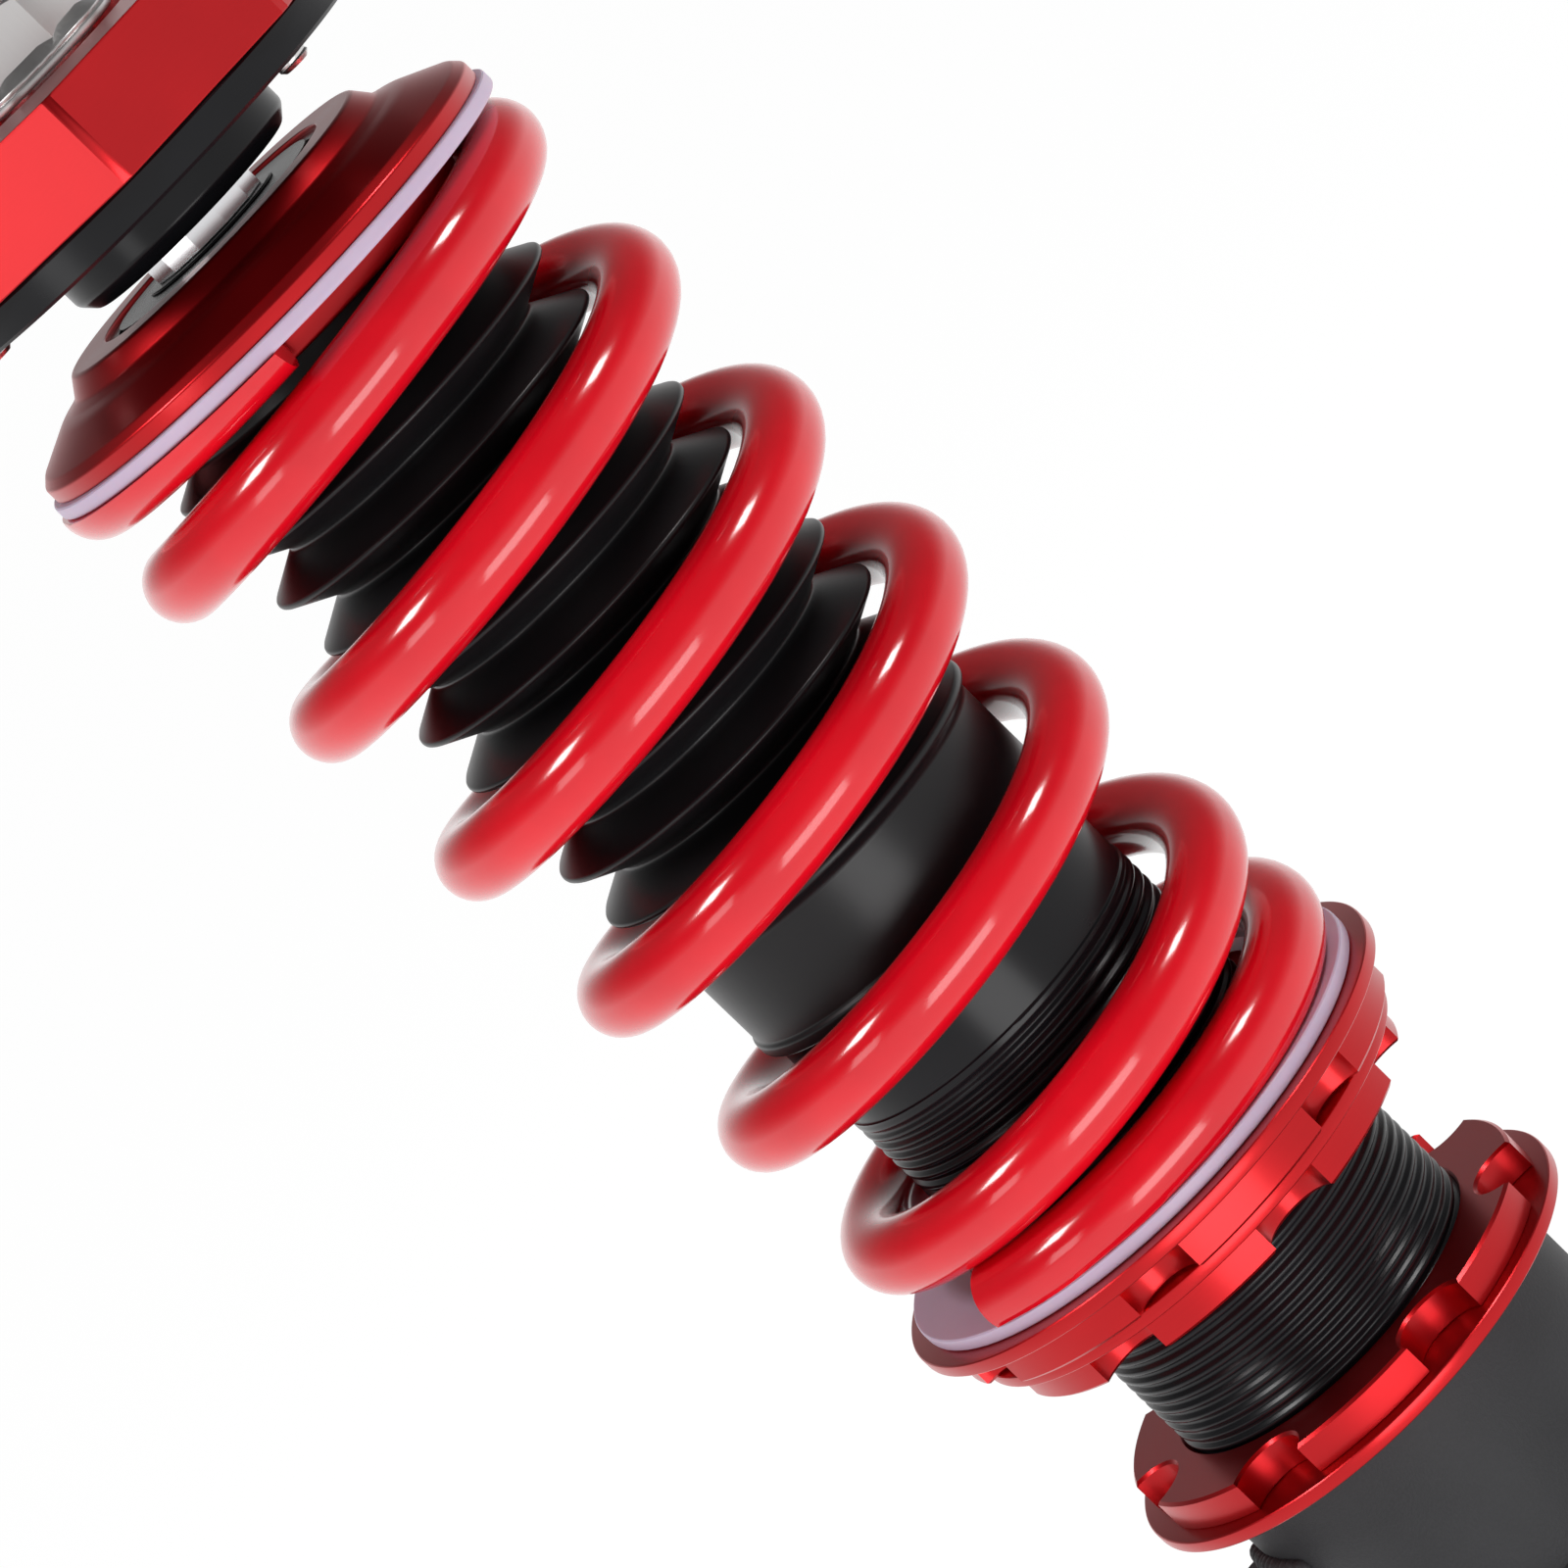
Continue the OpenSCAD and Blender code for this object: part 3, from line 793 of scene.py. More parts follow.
def curve_object(name: str, points: Sequence[Sequence[float]]) -> bpy.types.Object:
    """Makes a curve of straight pieces.

    Args:
        name: name of the new object.
        points: the points that it goes through, in millimetres.

    Returns:
        The new object.
    """
    curve = bpy.data.curves.new(name, "CURVE")
    curve.dimensions = "3D"
    spline = curve.splines.new("POLY")
    spline.points.add(len(points) - 1)
    for point, place in zip(spline.points, points):
        point.co = (*(c * MM for c in place), 1.0)
    return placed(name, curve)


# ---------------------------------------------------------------- the workshop


class Workshop:
    """Holds the frame, the materials and the trees, and puts finished pieces on their bodies."""

    def __init__(self, loaded: dict[str, Any]) -> None:
        """Makes the materials and dresses every frame node with its slot's finish.

        Args:
            loaded: the frame, as it was read.
        """
        self.nodes: dict[str, bpy.types.Object] = loaded["nodes"]
        self.joints = {joint["name"]: joint for joint in loaded["joints"]}
        record = loaded["record"]
        self.materials = {finish.slot: finish.build() for finish in FINISHES}
        self.slots = {row["node"]: row["material_slot"] for row in record["subparts"]}
        self.bodies = {n: body for body, ns in record["behaviour"]["bodies"].items() for n in ns}
        for name, made in self.nodes.items():
            made.data.materials.clear()
            made.data.materials.append(self.materials[self.slots[name]])
        self.sweep = sweep_tree()
        self.circle = circle_tree()
        self.bead = bead_tree()

    def span(self, node: str) -> tuple[float, float, float]:
        """Lowest height, highest height and outside radius of a node, in millimetres."""
        low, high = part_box(node)
        return low.z / MM, high.z / MM, max(high.x, high.y) / MM

    def add(
        self, made: bpy.types.Object, node: str, stands_for: Sequence[str] = (), slot: str = ""
    ) -> bpy.types.Object:
        """Dresses a piece as a node is dressed and puts it on the node's body.

        Args:
            made: the finished piece.
            node: the frame node whose body it rides on.
            stands_for: the frame nodes that it replaces.
            slot: another slot than the node's own.

        Returns:
            The same piece.
        """
        slot = slot or self.slots[node]
        made.data.materials.clear()
        made.data.materials.append(self.materials[slot])
        for polygon in made.data.polygons:
            polygon.material_index = 0
        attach(made, self.bodies[node])
        if stands_for:
            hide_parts(*stands_for)
        LOG.info("%s rides on %s", made.name, self.bodies[node])
        return made

    def turned(
        self, node: str, corners: Sequence[tuple[float, ...]], columns: int = 160
    ) -> bpy.types.Object:
        """Makes a turned piece that stands for a node.

        Args:
            node: the frame node.
            corners: its section, as rounded() takes it.
            columns: faces round the axis.

        Returns:
            The new piece.
        """
        made = lathe(f"{node}_turned", rounded(corners), columns)
        shade(made)
        weigh_normals(made)
        return self.add(made, node, [node])

    def copied(self, node: str, edge: float) -> bpy.types.Object:
        """Makes a piece that is a node with its edges broken by a width in millimetres."""
        return self.add(machined_copy(f"{node}_machined", self.nodes[node], edge), node, [node])

    def shorten(self, made: bpy.types.Object, joint: str, low: float, high: float) -> None:
        """Gives a piece its own copy of its mesh; the share of its length that a joint's travel leaves is
        worked out but not used.

        Args:
            made: the piece.
            joint: the joint's name.
            low: height that stays.
            high: height that moves by the whole travel.
        """
        travel = max(abs(x) for x in self.joints[joint]["range_m"]) / MM
        keep = 1 - travel / (high - low)
        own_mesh(made)

    def round_axis(
        self, name: str, item: bpy.types.Object, node: str, count: int, radius: float, start: float
    ) -> bpy.types.Object:
        """Copies an item round the axis.

        Args:
            name: name of the new piece.
            item: the item, standing on the axis, which is removed.
            node: the frame node that the copies stand for.
            count: how many.
            radius: their distance from the axis.
            start: angle of the first, in degrees to the right of -Y.

        Returns:
            The new piece.
        """
        shade(item)
        base = mesh_from(name + "_base", [(0, 0, 0), (1, 0, 0), (0, 1, 0)], [(0, 1, 2)])
        values = {
            "Item": item,
            "Count": count,
            "Radius": radius * MM,
            "Start": from_front(start),
            "Material": self.materials[self.slots[node]],
        }
        made = self.circle.grow(name, base, values)
        bpy.data.objects.remove(item)
        return self.add(made, node, [node])


@dataclass(frozen=True)
class Thread:
    """A right-hand screw thread."""

    radius: float
    pitch: float
    depth: float
    z_low: float
    z_high: float
    shares: tuple[float, ...] = (0.0, 0.35, 1.0, 1.0, 0.35, 0.0)
    run_out: float = 1.5

    @property
    def rows(self) -> int:
        """Rows of points in a pitch."""
        return len(self.shares)

    def depth_at(self, row: int, z: float) -> float:
        """How deep the thread is at a row, counted from the top, and a height."""
        top = (self.z_high - z) / (self.run_out * self.pitch)
        return self.depth * self.shares[row % self.rows] * min(1.0, top, (z - self.z_low) / self.pitch)

    def cut(self, name: str, rest: Sequence[Point2], columns: int) -> bpy.types.Object:
        """Makes a turned piece with the thread on it.

        Args:
            name: name of the new object.
            rest: the section's other points, from above the thread, over and round to below it.
            columns: faces round the axis.

        Returns:
            The new object.
        """
        last = (math.ceil((self.z_high - self.z_low) / self.pitch) + 1) * self.rows
        round_axis = [(math.cos(TURN * i / columns), math.sin(TURN * i / columns)) for i in range(columns)]
        points: list[tuple[float, float, float]] = []
        for row in range(last + 1):
            for i, (x, y) in enumerate(round_axis):
                z = self.z_high - self.pitch * (row / self.rows - i / columns)
                z = min(max(z, self.z_low), self.z_high)
                r = self.radius - self.depth_at(row, z)
                points.append((r * x, r * y, z))
        points.extend((r * x, r * y, z) for r, z in rest for x, y in round_axis)

        def at(row: int, i: int) -> int:
            """Finds a point, where a whole turn leads to the row a pitch higher.

            Args:
                row: its row, from the top.
                i: its column.

            Returns:
                The point's number.
            """
            if i == columns and row <= last:
                row = max(row - self.rows, 0)
            return row * columns + i % columns

        chain = [*range(last + 1), *range(last + len(rest), last, -1), 0]
        faces = [
            (at(upper, i), at(upper, i + 1), at(lower, i + 1), at(lower, i))
            for upper, lower in zip(chain, chain[1:])
            for i in range(columns)
        ]
        return mesh_from(name, points, faces)


# ---------------------------------------------------------------- sub-assemblies


@dataclass
class CoilSpring:
    """The coil spring and the gaskets at its ends."""

    inside: float = 62.0
    wire: float = 11.5
    pitch: float = 28.1
    first_turn: float = -0.142
    last_turn: float = 6.98
    front_rise: float = 3.5
    opens_at: float = 0.72
    opens_over: float = 0.4
    closes_at: float = 5.916
    closes_over: float = 0.3
    clearance: float = 0.05
    gasket_lap: float = 0.4
    rings_per_turn: int = 80
    sides: int = 40

    def rise(self, turn: float) -> float:
        """Follows the wire up the spring.

        Args:
            turn: how many turns it is from the front of the lowest coil.

        Returns:
            How far the wire has climbed.
        """

        def opened(start: float, over: float) -> float:
            """Lets a pitch of one open smoothly from nothing.

            Args:
                start: the turn at which it starts to open.
                over: how many turns that takes.

            Returns:
                How far it has climbed.
            """
            t = (turn - start) / over
            if t <= 0:
                return 0.0
            return over * (t - 0.5 if t >= 1 else t**3 - t**4 / 2)

        open_part = opened(self.opens_at, self.opens_over) - opened(self.closes_at, self.closes_over)
        return self.wire * turn + (self.pitch - self.wire) * open_part

    def build(self, shop: Workshop) -> None:
        """Makes the spring and its gaskets.

        Args:
            shop: where the pieces are dressed.
        """
        low, high, _ = shop.span("spring")
        count = round((self.last_turn - self.first_turn) * self.rings_per_turn)
        middle = (self.inside + self.wire) / 2
        line = []
        for i in range(count + 1):
            turn = self.first_turn + (self.last_turn - self.first_turn) * i / count
            angle = TURN * turn - math.pi / 2
            height = low + self.front_rise + self.rise(turn)
            line.append((middle * math.cos(angle), middle * math.sin(angle), height))
        values = {
            "Wire Radius": self.wire / 2 * MM,
            "Sides": self.sides,
            "Low Plane": low * MM,
            "High Plane": high * MM,
            "Material": shop.materials["spring_red"],
        }
        coil = shop.sweep.grow("coil_spring", curve_object("coil_line", line), values)
        shade(coil, 38)
        shop.add(coil, "spring", ["spring"])
        shop.shorten(coil, "rod_slide", low, high)
        for node in ("lower_gasket", "upper_gasket"):
            low, high, outside = shop.span(node)
            bore = self.inside / 2 - self.gasket_lap
            low += self.clearance
            corners = [(bore, low), (outside, low, 0.6), (outside, high, 0.6), (bore, high, 0.3)]
            shop.turned(node, corners, columns=192)


@dataclass
class DustBoot:
    """The rubber bellows over the rod, and its cuff on the tube."""

    tip: float = 30.3
    valley: float = 23.5
    wall: float = 1.3
    collar: float = 24.6
    fold_pitch: float = 9.2
    folds: int = 10
    first_tip: float = -55.1
    lip: float = 29.5
    cuff: float = 28.0
    tube: float = 26.7
    give: float = 2.4
    neck_rise: float = 3.4
    lip_rise: float = 0.5
    tip_half: float = 0.35
    valley_half: float = 0.3
    valley_round: float = 0.9

    def side(self, inset: float) -> list[tuple[float, ...]]:
        """Corners of the bellows' side, from the top down.

        Args:
            inset: how far they are moved in: 0, or the wall's thickness.

        Returns:
            The corners, as rounded() takes them.
        """
        corners: list[tuple[float, ...]] = []
        for i in range(self.folds):
            z = self.first_tip - i * self.fold_pitch
            low = z - self.fold_pitch / 2
            tip, valley = self.tip - inset, self.valley - inset
            flank = valley + self.valley_round
            corners += [(tip, z + self.tip_half, 0.3), (tip, z - self.tip_half, 0.3)]
            corners += [(flank, low + self.valley_round, 0.3), (valley, low + self.valley_half, 0.3)]
            corners += [(valley, low - self.valley_half, 0.3), (flank, low - self.valley_round, 0.3)]
        return corners

    def build(self, shop: Workshop) -> None:
        """Makes the bellows and the cuff.

        Args:
            shop: where the pieces are dressed.
        """
        foot, top, _ = shop.span("dust_boot")
        lip_top = self.first_tip - self.folds * self.fold_pitch + self.lip_rise
        neck = self.first_tip + self.neck_rise
        seam = self.lip - 0.4
        collar = self.collar - self.wall
        outside = [(self.collar, top, 0.4), (self.collar, neck, 0.5), *self.side(0.0), (seam, lip_top)]
        inside = [(collar, top, 0.3), (collar, neck), *self.side(self.wall), (seam - self.wall, lip_top)]
        bellows = lathe("boot_bellows", rounded([*outside, *reversed(inside)], steps=2))
        shade(bellows, 50)
        shop.add(bellows, "dust_boot", ["dust_boot"])
        shop.shorten(bellows, "rod_slide", lip_top, top - self.give)
        cuff = lathe(
            "boot_cuff",
            rounded(
                [
                    (seam, lip_top, 0.2),
                    (self.lip, lip_top - 0.5, 0.3),
                    (self.lip, lip_top - 1.4, 0.4),
                    (self.cuff, lip_top - 2.7, 0.8),
                    (self.cuff, foot + 2.4, 0.3),
                    (self.cuff + 0.5, foot + 1.9, 0.3),
                    (self.cuff + 0.5, foot, 0.5),
                    (self.tube, foot),
                    (self.tube, lip_top),
                ]
            ),
            columns=160,
        )
        shade(cuff)
        weigh_normals(cuff)
        shop.add(cuff, "dust_boot", ["dust_boot"])


@dataclass
class ShockTube:
    """The damper's threaded tube."""

    thread: float = 27.0
    thread_pitch: float = 2.0
    thread_depth: float = 0.7
    shares: tuple[float, ...] = (0.0, 0.0, 0.12, 0.88, 1.0, 1.0, 0.88, 0.12)
    tube: float = 26.7
    bore: float = 23.0
    thread_top: float = -182.8

    def build(self, shop: Workshop) -> None:
        """Makes the tube with its thread.

        Args:
            shop: where the pieces are dressed.
        """
        foot, top, _ = shop.span("shock_body")
        thread = Thread(
            self.thread,
            pitch=self.thread_pitch,
            depth=self.thread_depth,
            z_low=foot + 1.0,
            z_high=self.thread_top,
            shares=self.shares,
            run_out=2.0,
        )
        rest = rounded(
            [
                (self.tube, self.thread_top + 0.4, 0.2),
                (self.tube, top, 0.6),
                (self.bore, top, 0.4),
                (self.bore, foot, 0.4),
                (self.thread - 1.0, foot),
            ]
        )
        tube = thread.cut("threaded_tube", rest, columns=96)
        shade(tube, 60)
        shop.add(tube, "shock_body", ["shock_body"])


@dataclass
class Collar:
    """A notched ring that screws on the tube's thread, with a flange at one end.

    Its flange, hub and spigot stand in each other by the depth that is called sunk.
    """

    node: str
    hub: float
    flange_height: float
    notch: float
    notch_at: float
    first_notch: float
    flange_on_top: bool
    spigot: float = 0.0
    spigot_rise: float = 0.0
    notches: int = 7
    bore: float = 27.05
    edge: float = 0.45
    sunk: float = 0.3
    notch_steps: int = 24
    land_steps: int = 18

    def hub_outline(self) -> list[Point2]:
        """The hub's outside loop with its round notches.

        Returns:
            The loop's points, anticlockwise.
        """
        reach = self.hub**2 + self.notch_at**2 - self.notch**2
        half = math.acos(reach / (2 * self.hub * self.notch_at))
        mouth = math.asin(self.hub * math.sin(half) / self.notch)
        if self.hub * math.cos(half) < self.notch_at:
            mouth = math.pi - mouth
        loop: list[Point2] = []
        step = TURN / self.notches
        for i in range(self.notches):
            middle = from_front(self.first_notch) + i * step
            across, along = self.notch_at * math.cos(middle), self.notch_at * math.sin(middle)
            for k in range(self.notch_steps + 1):
                turn = middle - mouth - (TURN - 2 * mouth) * k / self.notch_steps
                loop.append((across + self.notch * math.cos(turn), along + self.notch * math.sin(turn)))
            for k in range(1, self.land_steps):
                turn = middle + half + (step - 2 * half) * k / self.land_steps
                loop.append((self.hub * math.cos(turn), self.hub * math.sin(turn)))
        return loop

    def build(self, shop: Workshop) -> None:
        """Makes the ring from its flange, its hub and any spigot.

        Args:
            shop: where the pieces are dressed.
        """
        low, high, outside = shop.span(self.node)
        high -= self.spigot_rise
        seam = high - self.flange_height if self.flange_on_top else low + self.flange_height
        ends = (seam, high) if self.flange_on_top else (low, seam)
        flange_corners = [
            (self.bore, ends[0]),
            (outside, ends[0], self.edge),
            (outside, ends[1], self.edge),
            (self.bore, ends[1]),
        ]
        flange = lathe(self.node + "_flange", rounded(flange_corners), columns=224)
        levels = (low, seam + self.sunk) if self.flange_on_top else (seam - self.sunk, high)
        hub = prism(self.node + "_hub", self.hub_outline(), [circle(self.bore)], *levels, self.edge)
        parts = [flange, hub]
        if self.spigot:
            corners = [
                (self.bore, high - self.sunk),
                (self.spigot, high - self.sunk),
                (self.spigot, high + self.spigot_rise, 0.5),
                (self.bore, high + self.spigot_rise, 0.3),
            ]
            parts.append(lathe(self.node + "_spigot", rounded(corners), columns=160))
        ring = joined(self.node + "_turned", parts)
        shade(ring, 30)
        shop.add(ring, self.node, [self.node])


@dataclass
class LowerBracket:
    """The sleeve that the tube screws into, the knuckle bracket, the hose tab and their welds."""

    wall_outside: float = 30.8
    bore: float = 27.05
    weld: float = 1.9
    weld_step: float = 1.5
    weld_turn: tuple[float, float] = (186.0, 354.0)
    weld_stand: float = 0.4
    arc_step: float = 3.0
    ear_rise: float = 10.0
    hose_angle: float = 190.0
    hose_half: float = 16.0

    def arc(self, start: float, end: float, z: float) -> list[tuple[float, float, float]]:
        """A weld's line on the sleeve's outside.

        Args:
            start: its first angle about +Z, in degrees.
            end: its last angle.
            z: its height.

        Returns:
            The line's points.
        """
        r = self.wall_outside + self.weld_stand
        count = round(abs(end - start) / self.arc_step)
        turns = [math.radians(start + (end - start) * i / count) for i in range(count + 1)]
        return [(r * math.cos(t), r * math.sin(t), z) for t in turns]

    def build(self, shop: Workshop) -> None:
        """Makes the sleeve, dresses the pressings and lays the weld beads.

        Args:
            shop: where the pieces are dressed.
        """
        low, high, outside = shop.span("lower_sleeve")
        corners = [(self.bore, low), (outside, low, 0.8), (outside, high, 0.6), (self.bore, high, 0.4)]
        shop.turned("lower_sleeve", corners, columns=192)
        for node, edge in (("knuckle_bracket", 0.7), ("brake_hose_tab", 0.4), ("sleeve_plug", 0.3)):
            shop.copied(node, edge)
        wrap_top = shop.span("knuckle_bracket")[1] - self.ear_rise
        tab_low, tab_top, _ = shop.span("brake_hose_tab")
        tab = (self.hose_angle - self.hose_half, self.hose_angle + self.hose_half)
        seams = {
            "bracket_weld": self.arc(*self.weld_turn, wrap_top),
            "tab_weld_top": self.arc(*tab, tab_top),
            "tab_weld_foot": self.arc(*tab, tab_low),
        }
        for seed, (name, line) in enumerate(seams.items()):
            values = {
                "Drop Size": self.weld * MM,
                "Spacing": self.weld_step * MM,
                "Seed": seed,
                "Material": shop.materials["textured_black"],
            }
            bead = shop.bead.grow(name, curve_object(name + "_line", line), values)
            shade(bead, 60)
            shop.add(bead, "knuckle_bracket")


@dataclass
class SpringSeat:
    """The red seat on top of the spring, with the bearing inside it.

    Its shoulder is given as (radius, drop below the top, cut) points.
    """

    spigot: float = 30.5
    cavity: float = 25.0
    pocket: float = 20.5
    clip: float = 21.3
    bore: float = 7.05
    rim_height: float = 2.3
    balls: int = 12
    shoulder: tuple[tuple[float, ...], ...] = (
        (39.6, 7.2, 0.25),
        (33.1, 4.1, 0.8),
        (31.0, 3.6, 0.4),
        (29.3, 2.9, 0.35),
        (27.2, 0.2, 0.3),
        (26.6, 0.0, 0.25),
    )

    def build(self, shop: Workshop) -> None:
        """Makes the seat and the balls under it.

        Args:
            shop: where the pieces are dressed.
        """
        foot, top, rim = shop.span("upper_seat")
        clip_low, clip_high, _ = shop.span("seat_circlip")
        floor = shop.span("bearing_lower_race")[0]
        gasket = shop.span("upper_gasket")[1]
        corners = [
            (self.bore, gasket),
            (self.cavity, gasket),
            (self.cavity, foot),
            (self.spigot, foot, 0.6),
            (self.spigot, gasket),
            (rim, gasket, 0.35),
            (rim, gasket + self.rim_height, 0.3),
            *((r, top - drop, cut) for r, drop, cut in self.shoulder),
            (self.pocket, top, 0.3),
            (self.pocket, clip_high),
            (self.clip, clip_high),
            (self.clip, clip_low),
            (self.pocket, clip_low),
            (self.pocket, floor),
            (self.bore, floor),
        ]
        shop.turned("upper_seat", corners, columns=224)
        shop.copied("seat_circlip", 0.2)
        low, high, outside = shop.span("bearing_balls")
        radius = (high - low) / 2
        at = outside - radius
        turns = [math.pi * i / 10 for i in range(11)]
        outline = [(radius * math.sin(t), -radius * math.cos(t)) for t in turns]
        ball = lathe("bearing_ball", outline, columns=20, centre=(0, 0, (low + high) / 2))
        shop.round_axis("bearing_balls_set", ball, "bearing_balls", self.balls, at, 0.0)


@dataclass
class TopMount:
    """The octagonal pillow-ball mount with its plate, screws and studs."""

    fixings: int = 3
    screw_circle: float = 33.0
    first_screw: float = 46.8
    screw: float = 2.5
    head: float = 4.25
    head_height: float = 4.5
    socket_across: float = 4.0
    socket_depth: float = 2.6
    stud_circle: float = 32.5
    first_stud: float = 81.8
    stud: float = 4.0
    stud_knurl: float = 4.3
    stud_head: float = 5.5
    stud_head_height: float = 3.0
    race: float = 17.0
    opening: float = 13.5
    plate_edge: float = 0.5
    stud_thread_foot: float = 1.0
    screw_play: float = 0.15

    def screw_item(self, low: float, high: float) -> bpy.types.Object:
        """A socket head cap screw that stands on the axis.

        Args:
            low: height of its end.
            high: height of its head's top.

        Returns:
            The new object.
        """
        under = high - self.head_height + 0.5
        floor = high - self.socket_depth
        thread = Thread(self.screw, pitch=0.8, depth=0.4, z_low=low + 0.6, z_high=under - 4.0, run_out=1.0)
        rest = rounded(
            [
                (self.screw, under),
                (self.head, under, 0.3),
                (self.head, floor),
                (0.0, floor),
                (0.0, low),
                (self.screw - 0.6, low),
            ]
        )
        shank = thread.cut("cap_screw_shank", rest, columns=24)
        hexagon = circle(self.socket_across / 2 / math.cos(math.pi / 6), count=6)
        rim = prism("cap_screw_rim", circle(self.head, count=24), [hexagon], floor - 0.3, high, chamfer=0.3)
        return joined("cap_screw", [shank, rim])

    def stud_item(self, low: float, high: float) -> bpy.types.Object:
        """A pressed-in stud that stands on the axis.

        Args:
            low: height of its head's underside.
            high: height of its end.

        Returns:
            The new object.
        """
        foot = self.stud_thread_foot
        thread = Thread(self.stud, pitch=1.25, depth=0.65, z_low=foot, z_high=high - 0.9, run_out=1.0)
        rest = rounded(
            [
                (self.stud - 0.9, high, 0.2),
                (0.0, high),
                (0.0, low),
                (self.stud_head, low, 0.3),
                (self.stud_head, low + self.stud_head_height, 0.3),
                (self.stud_knurl, low + self.stud_head_height),
                (self.stud_knurl, 0.0, 0.2),
                (self.stud, 0.0),
            ]
        )
        return thread.cut("pressed_stud", rest, columns=32)

    def build(self, shop: Workshop) -> None:
        """Makes the mount from the studs down.

        Args:
            shop: where the pieces are dressed.
        """
        shop.copied("mount_body", 0.45)
        for node, item, at, start in (
            ("mount_studs", self.stud_item, self.stud_circle, self.first_stud),
            ("base_screws", self.screw_item, self.screw_circle, self.first_screw),
        ):
            low, high, _ = shop.span(node)
            shop.round_axis(node + "_set", item(low, high), node, self.fixings, at, start)
        plate_low, plate_top, outside = shop.span("base_plate")
        hole = circle(self.screw + self.screw_play, count=32, centre=(self.screw_circle, 0.0))
        holes = []
        for i in range(self.fixings):
            turn = Matrix.Rotation(from_front(self.first_screw + 360 / self.fixings * i), 2)
            holes.append([tuple(turn @ Vector(p)) for p in hole])
        holes.append(circle(self.race))
        rim = circle(outside, count=224)
        plate = prism("base_plate_turned", rim, holes, plate_low, plate_top, self.plate_edge)
        shade(plate, 30)
        shop.add(plate, "base_plate", ["base_plate"])
        low, high, outside = shop.span("retainer_ring")
        corners = [
            (self.opening, low, 0.6),
            (outside - 2.0, low, 0.5),
            (outside, low + 2.2, 0.6),
            (outside, plate_low),
            (self.race, plate_low),
            (self.race, high),
            (self.opening, high),
        ]
        shop.turned("retainer_ring", corners)


@dataclass
class RodEnd:
    """The rod with its spacer, washer and nut."""

    rod: float = 7.0
    neck: float = 6.0
    tail: float = 5.0
    shoulder: float = -31.4
    piston_shoulder: float = -186.0
    neck_thread_foot: float = -6.0
    needle_bore: float = 2.1
    tail_length: float = 32.0
    facets: int = 12

    def ring(self, shop: Workshop, node: str, low_cut: float, high_cut: float) -> None:
        """Makes a washer that fits the neck, with its outside edges rounded.

        Args:
            shop: where the pieces are dressed.
            node: the washer's node.
            low_cut: size of the lower round.
            high_cut: size of the upper round.
        """
        low, high, outside = shop.span(node)
        corners = [(self.neck, low), (outside, low, low_cut), (outside, high, high_cut), (self.neck, high)]
        shop.turned(node, corners)

    def build(self, shop: Workshop) -> None:
        """Makes the rod, threaded above the mount, and what is clamped on it.

        Args:
            shop: where the pieces are dressed.
        """
        low, high, _ = shop.span("piston_rod")
        foot = self.neck_thread_foot
        thread = Thread(self.neck, pitch=1.25, depth=0.65, z_low=foot, z_high=high - 0.8, run_out=1.0)
        rest = rounded(
            [
                (self.neck - 0.8, high, 0.2),
                (self.needle_bore, high),
                (self.needle_bore, low + self.tail_length),
                (0.0, low + self.tail_length),
                (0.0, low),
                (self.tail - 0.8, low),
                (self.tail, low + 0.8),
                (self.tail, self.piston_shoulder),
                (self.rod, self.piston_shoulder, 0.3),
                (self.rod, self.shoulder, 0.3),
                (self.neck, self.shoulder),
            ]
        )
        rod = thread.cut("piston_rod_turned", rest, columns=64)
        shade(rod, 35)
        shop.add(rod, "piston_rod", ["piston_rod"])
        self.ring(shop, "top_washer", 0.3, 0.35)
        shop.copied("top_nut", 0.3)
        low, high, outside = shop.span("rod_spacer")
        bevelled = [(self.neck, low), (outside, low, 0.25), (outside, high, 0.25), (self.neck, high)]
        spacer = lathe("rod_spacer_turned", rounded(bevelled), self.facets, start=math.pi / self.facets)
        shop.add(spacer, "rod_spacer", ["rod_spacer"])
        self.ring(shop, "thrust_washer", 0.2, 0.3)


@dataclass
class DampingKnob:
    """The click knob on the needle."""

    edge: float = 0.35

    def build(self, shop: Workshop) -> None:
        """Makes the knob."""
        shop.copied("adjuster_knob", self.edge)


# ---------------------------------------------------------------- studio


class Side(Enum):
    """Which side of the object a soft box stands on."""

    LEFT = -1
    RIGHT = 1


@dataclass(frozen=True)
class SoftLight:
    """A rectangular soft light that faces a point of the strut."""

    name: str
    direction: tuple[float, float, float]
    distance: float
    width: float
    height: float
    radiance: float

    def build(self, target: Vector) -> None:
        """Hangs the light in the scene.

        Args:
            target: the point that it faces, in metres.
        """
        data = bpy.data.lights.new(self.name, "AREA")
        data.shape = "RECTANGLE"
        data.size = self.width
        data.size_y = self.height
        data.energy = self.radiance * math.pi * self.width * self.height
        lamp = placed(self.name, data)
        lamp.location = target + Vector(self.direction).normalized() * self.distance
        lamp.rotation_euler = (target - lamp.location).to_track_quat("-Z", "Y").to_euler()
        lamp.visible_camera = False


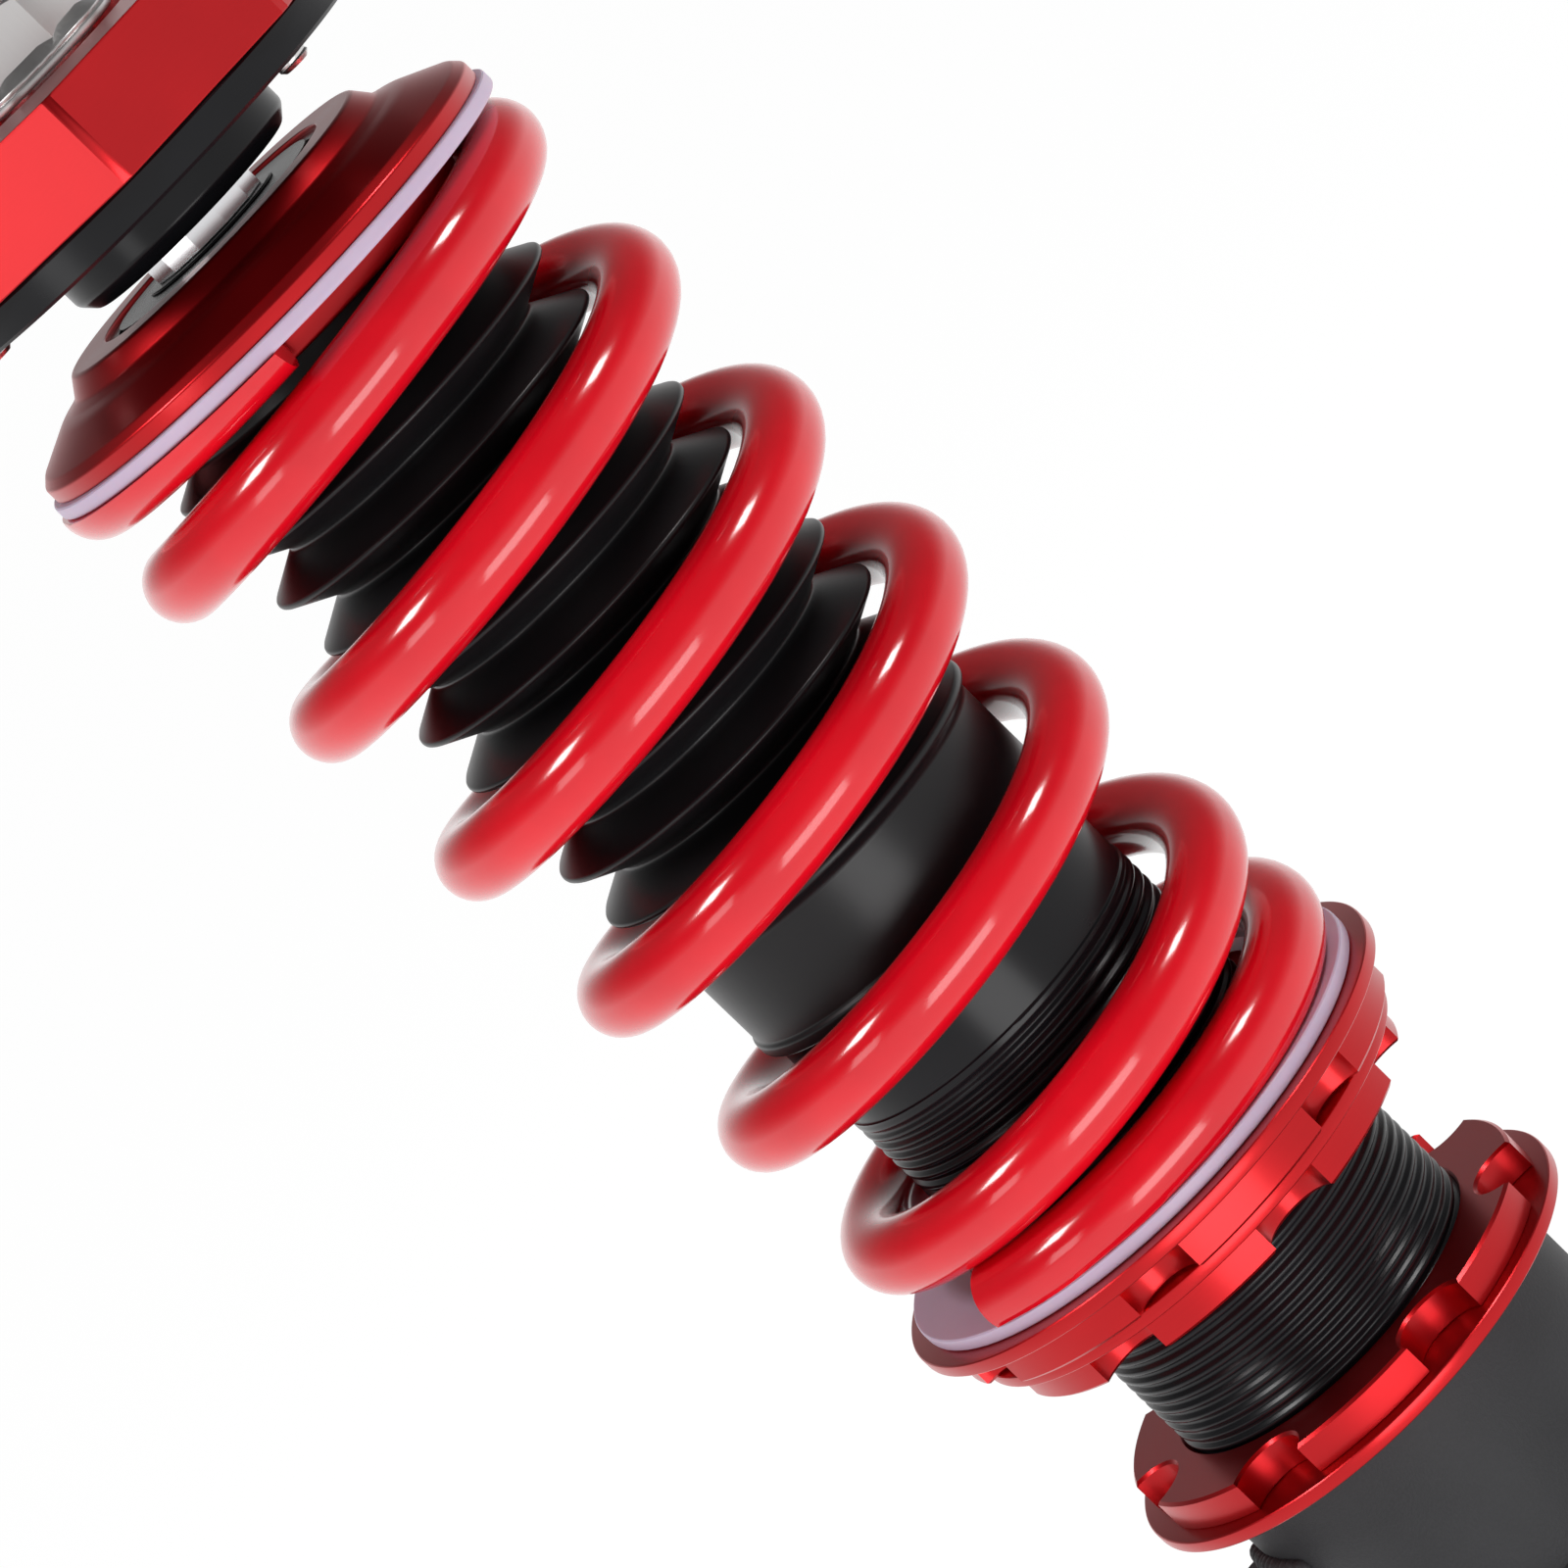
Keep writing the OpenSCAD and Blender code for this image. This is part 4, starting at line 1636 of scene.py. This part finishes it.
@dataclass
class Studio:
    """The white floor, the lights and the camera."""

    floor_reach: float = 40.0
    floor_gap: float = 0.0005
    floor_tone: float = 0.1
    floor_glow: float = 0.97
    target: tuple[float, float, float] = (0.0, 0.0, -0.12)
    camera_place: tuple[float, float, float] = (0.000603, -0.8618, 0.0491)
    camera_pitch: float = 0.2182
    camera_roll: float = -0.800
    lens: float = 144.85
    sensor: float = 36.0
    surround: float = 0.12
    wall_light: float = 0.97
    wall_from: float = 0.02
    wall_fade: float = 0.45

    def boxes(self) -> list[SoftLight]:
        """Describes the lights.

        Returns:
            The lights.
        """
        lights = []
        for side in Side:
            name = f"soft_box_{side.name.lower()}"
            direction = (side.value * 0.66, -0.2, 0.72)
            lights.append(SoftLight(name, direction, 1.0, width=0.20, height=0.20, radiance=26.0))
        lights += [
            SoftLight("table_reflector", (0.0, -0.93, -0.36), 0.45, width=0.28, height=0.16, radiance=4.5),
            SoftLight("side_reflector", (-0.79, -0.61, 0.15), 0.6, width=0.16, height=0.16, radiance=3.0),
        ]
        return lights

    def build_floor(self, height: float) -> None:
        """Lays the floor.

        Args:
            height: where it lies, in metres.
        """
        material, dressing = blank_material("studio_floor")
        point = dressing.place()
        tone = dressing.noise(point, 0.4, 1.0) * 0.02 + self.floor_tone
        colour = dressing.node("ShaderNodeCombineColor", {}, {0: tone, 1: tone, 2: tone})
        matt = dressing.node("ShaderNodeBsdfDiffuse", {}, {"Color": colour.outputs[0]})
        glow = dressing.node("ShaderNodeEmission", {}, {"Strength": self.floor_glow})
        both = dressing.node("ShaderNodeAddShader", {}, {0: matt.outputs[0], 1: glow.outputs[0]})
        dressing.node("ShaderNodeOutputMaterial", {}, {0: both.outputs[0]})
        reach = self.floor_reach
        corners = [(-reach, -reach), (reach, -reach), (reach, reach), (-reach, reach)]
        mesh = bpy.data.meshes.new("floor")
        mesh.from_pydata([(x, y, height) for x, y in corners], [], [(0, 1, 2, 3)])
        mesh.materials.append(material)
        placed("floor", mesh)

    def build_world(self) -> None:
        """Surrounds the object with a dim room, whose walls are lit near the floor."""
        world = bpy.data.worlds.new("room")
        world.use_nodes = True
        room = Dressing(world.node_tree)
        sight = room.node("ShaderNodeTexCoord", {}, {}).outputs["Generated"]
        height = Signal(room, room.node("ShaderNodeSeparateXYZ", {}, {0: sight}).outputs[2])
        lit = 1 - height.above(self.wall_from, self.wall_fade)
        strength = lit * lit * (self.wall_light - self.surround) + self.surround
        white = (1.0, 1.0, 1.0, 1.0)
        back = room.node("ShaderNodeBackground", {}, {"Color": white, "Strength": strength})
        room.node("ShaderNodeOutputWorld", {}, {0: back.outputs[0]})
        bpy.context.scene.world = world

    def build_camera(self) -> None:
        """Sets the camera, which is turned about its own sight line."""
        data = bpy.data.cameras.new("camera")
        data.lens = self.lens
        data.sensor_width = self.sensor
        data.clip_end = 200.0
        sight = Vector((0, math.cos(self.camera_pitch), -math.sin(self.camera_pitch)))
        up = Vector((0, math.sin(self.camera_pitch), math.cos(self.camera_pitch)))
        right = Vector((1, 0, 0))
        across = right * math.cos(self.camera_roll) + up * math.sin(self.camera_roll)
        upward = up * math.cos(self.camera_roll) - right * math.sin(self.camera_roll)
        turn = Matrix((across, upward, -sight)).transposed()
        camera = placed("camera", data)
        camera.matrix_world = Matrix.Translation(self.camera_place) @ turn.to_4x4()
        bpy.context.scene.camera = camera

    def build(self, floor_height: float) -> None:
        """Builds the studio round the object.

        Args:
            floor_height: height of the object's lowest point, in metres.
        """
        self.build_floor(floor_height - self.floor_gap)
        self.build_world()
        for light in self.boxes():
            light.build(Vector(self.target))
        self.build_camera()
        scene = bpy.context.scene
        scene.view_settings.view_transform = "Standard"
        scene.view_settings.look = "None"


# ---------------------------------------------------------------- assembly


COLLARS = (
    Collar("spring_perch", hub=41.2, flange_height=2.3, notch=5.8, notch_at=42.5, first_notch=33.9,
           flange_on_top=True, spigot=30.5, spigot_rise=5.0),
    Collar("perch_lock_ring", hub=36.9, flange_height=2.2, notch=6.0, notch_at=36.3, first_notch=12.3,
           flange_on_top=True),
    Collar("body_lock_ring", hub=36.9, flange_height=2.2, notch=6.0, notch_at=36.3, first_notch=16.5,
           flange_on_top=False),
)


def main() -> None:
    """Builds the coilover's looks, its light and its camera."""
    shop = Workshop(frame)
    parts = [CoilSpring(), DustBoot(), ShockTube(), *COLLARS, LowerBracket()]
    parts += [SpringSeat(), TopMount(), RodEnd(), DampingKnob()]
    for part in parts:
        LOG.info("building %s", type(part).__name__)
        part.build(shop)
    Studio().build(cad_box[0].z)


if __name__ == "__main__":
    logging.basicConfig(level=logging.INFO, format="%(name)s: %(message)s")
    main()
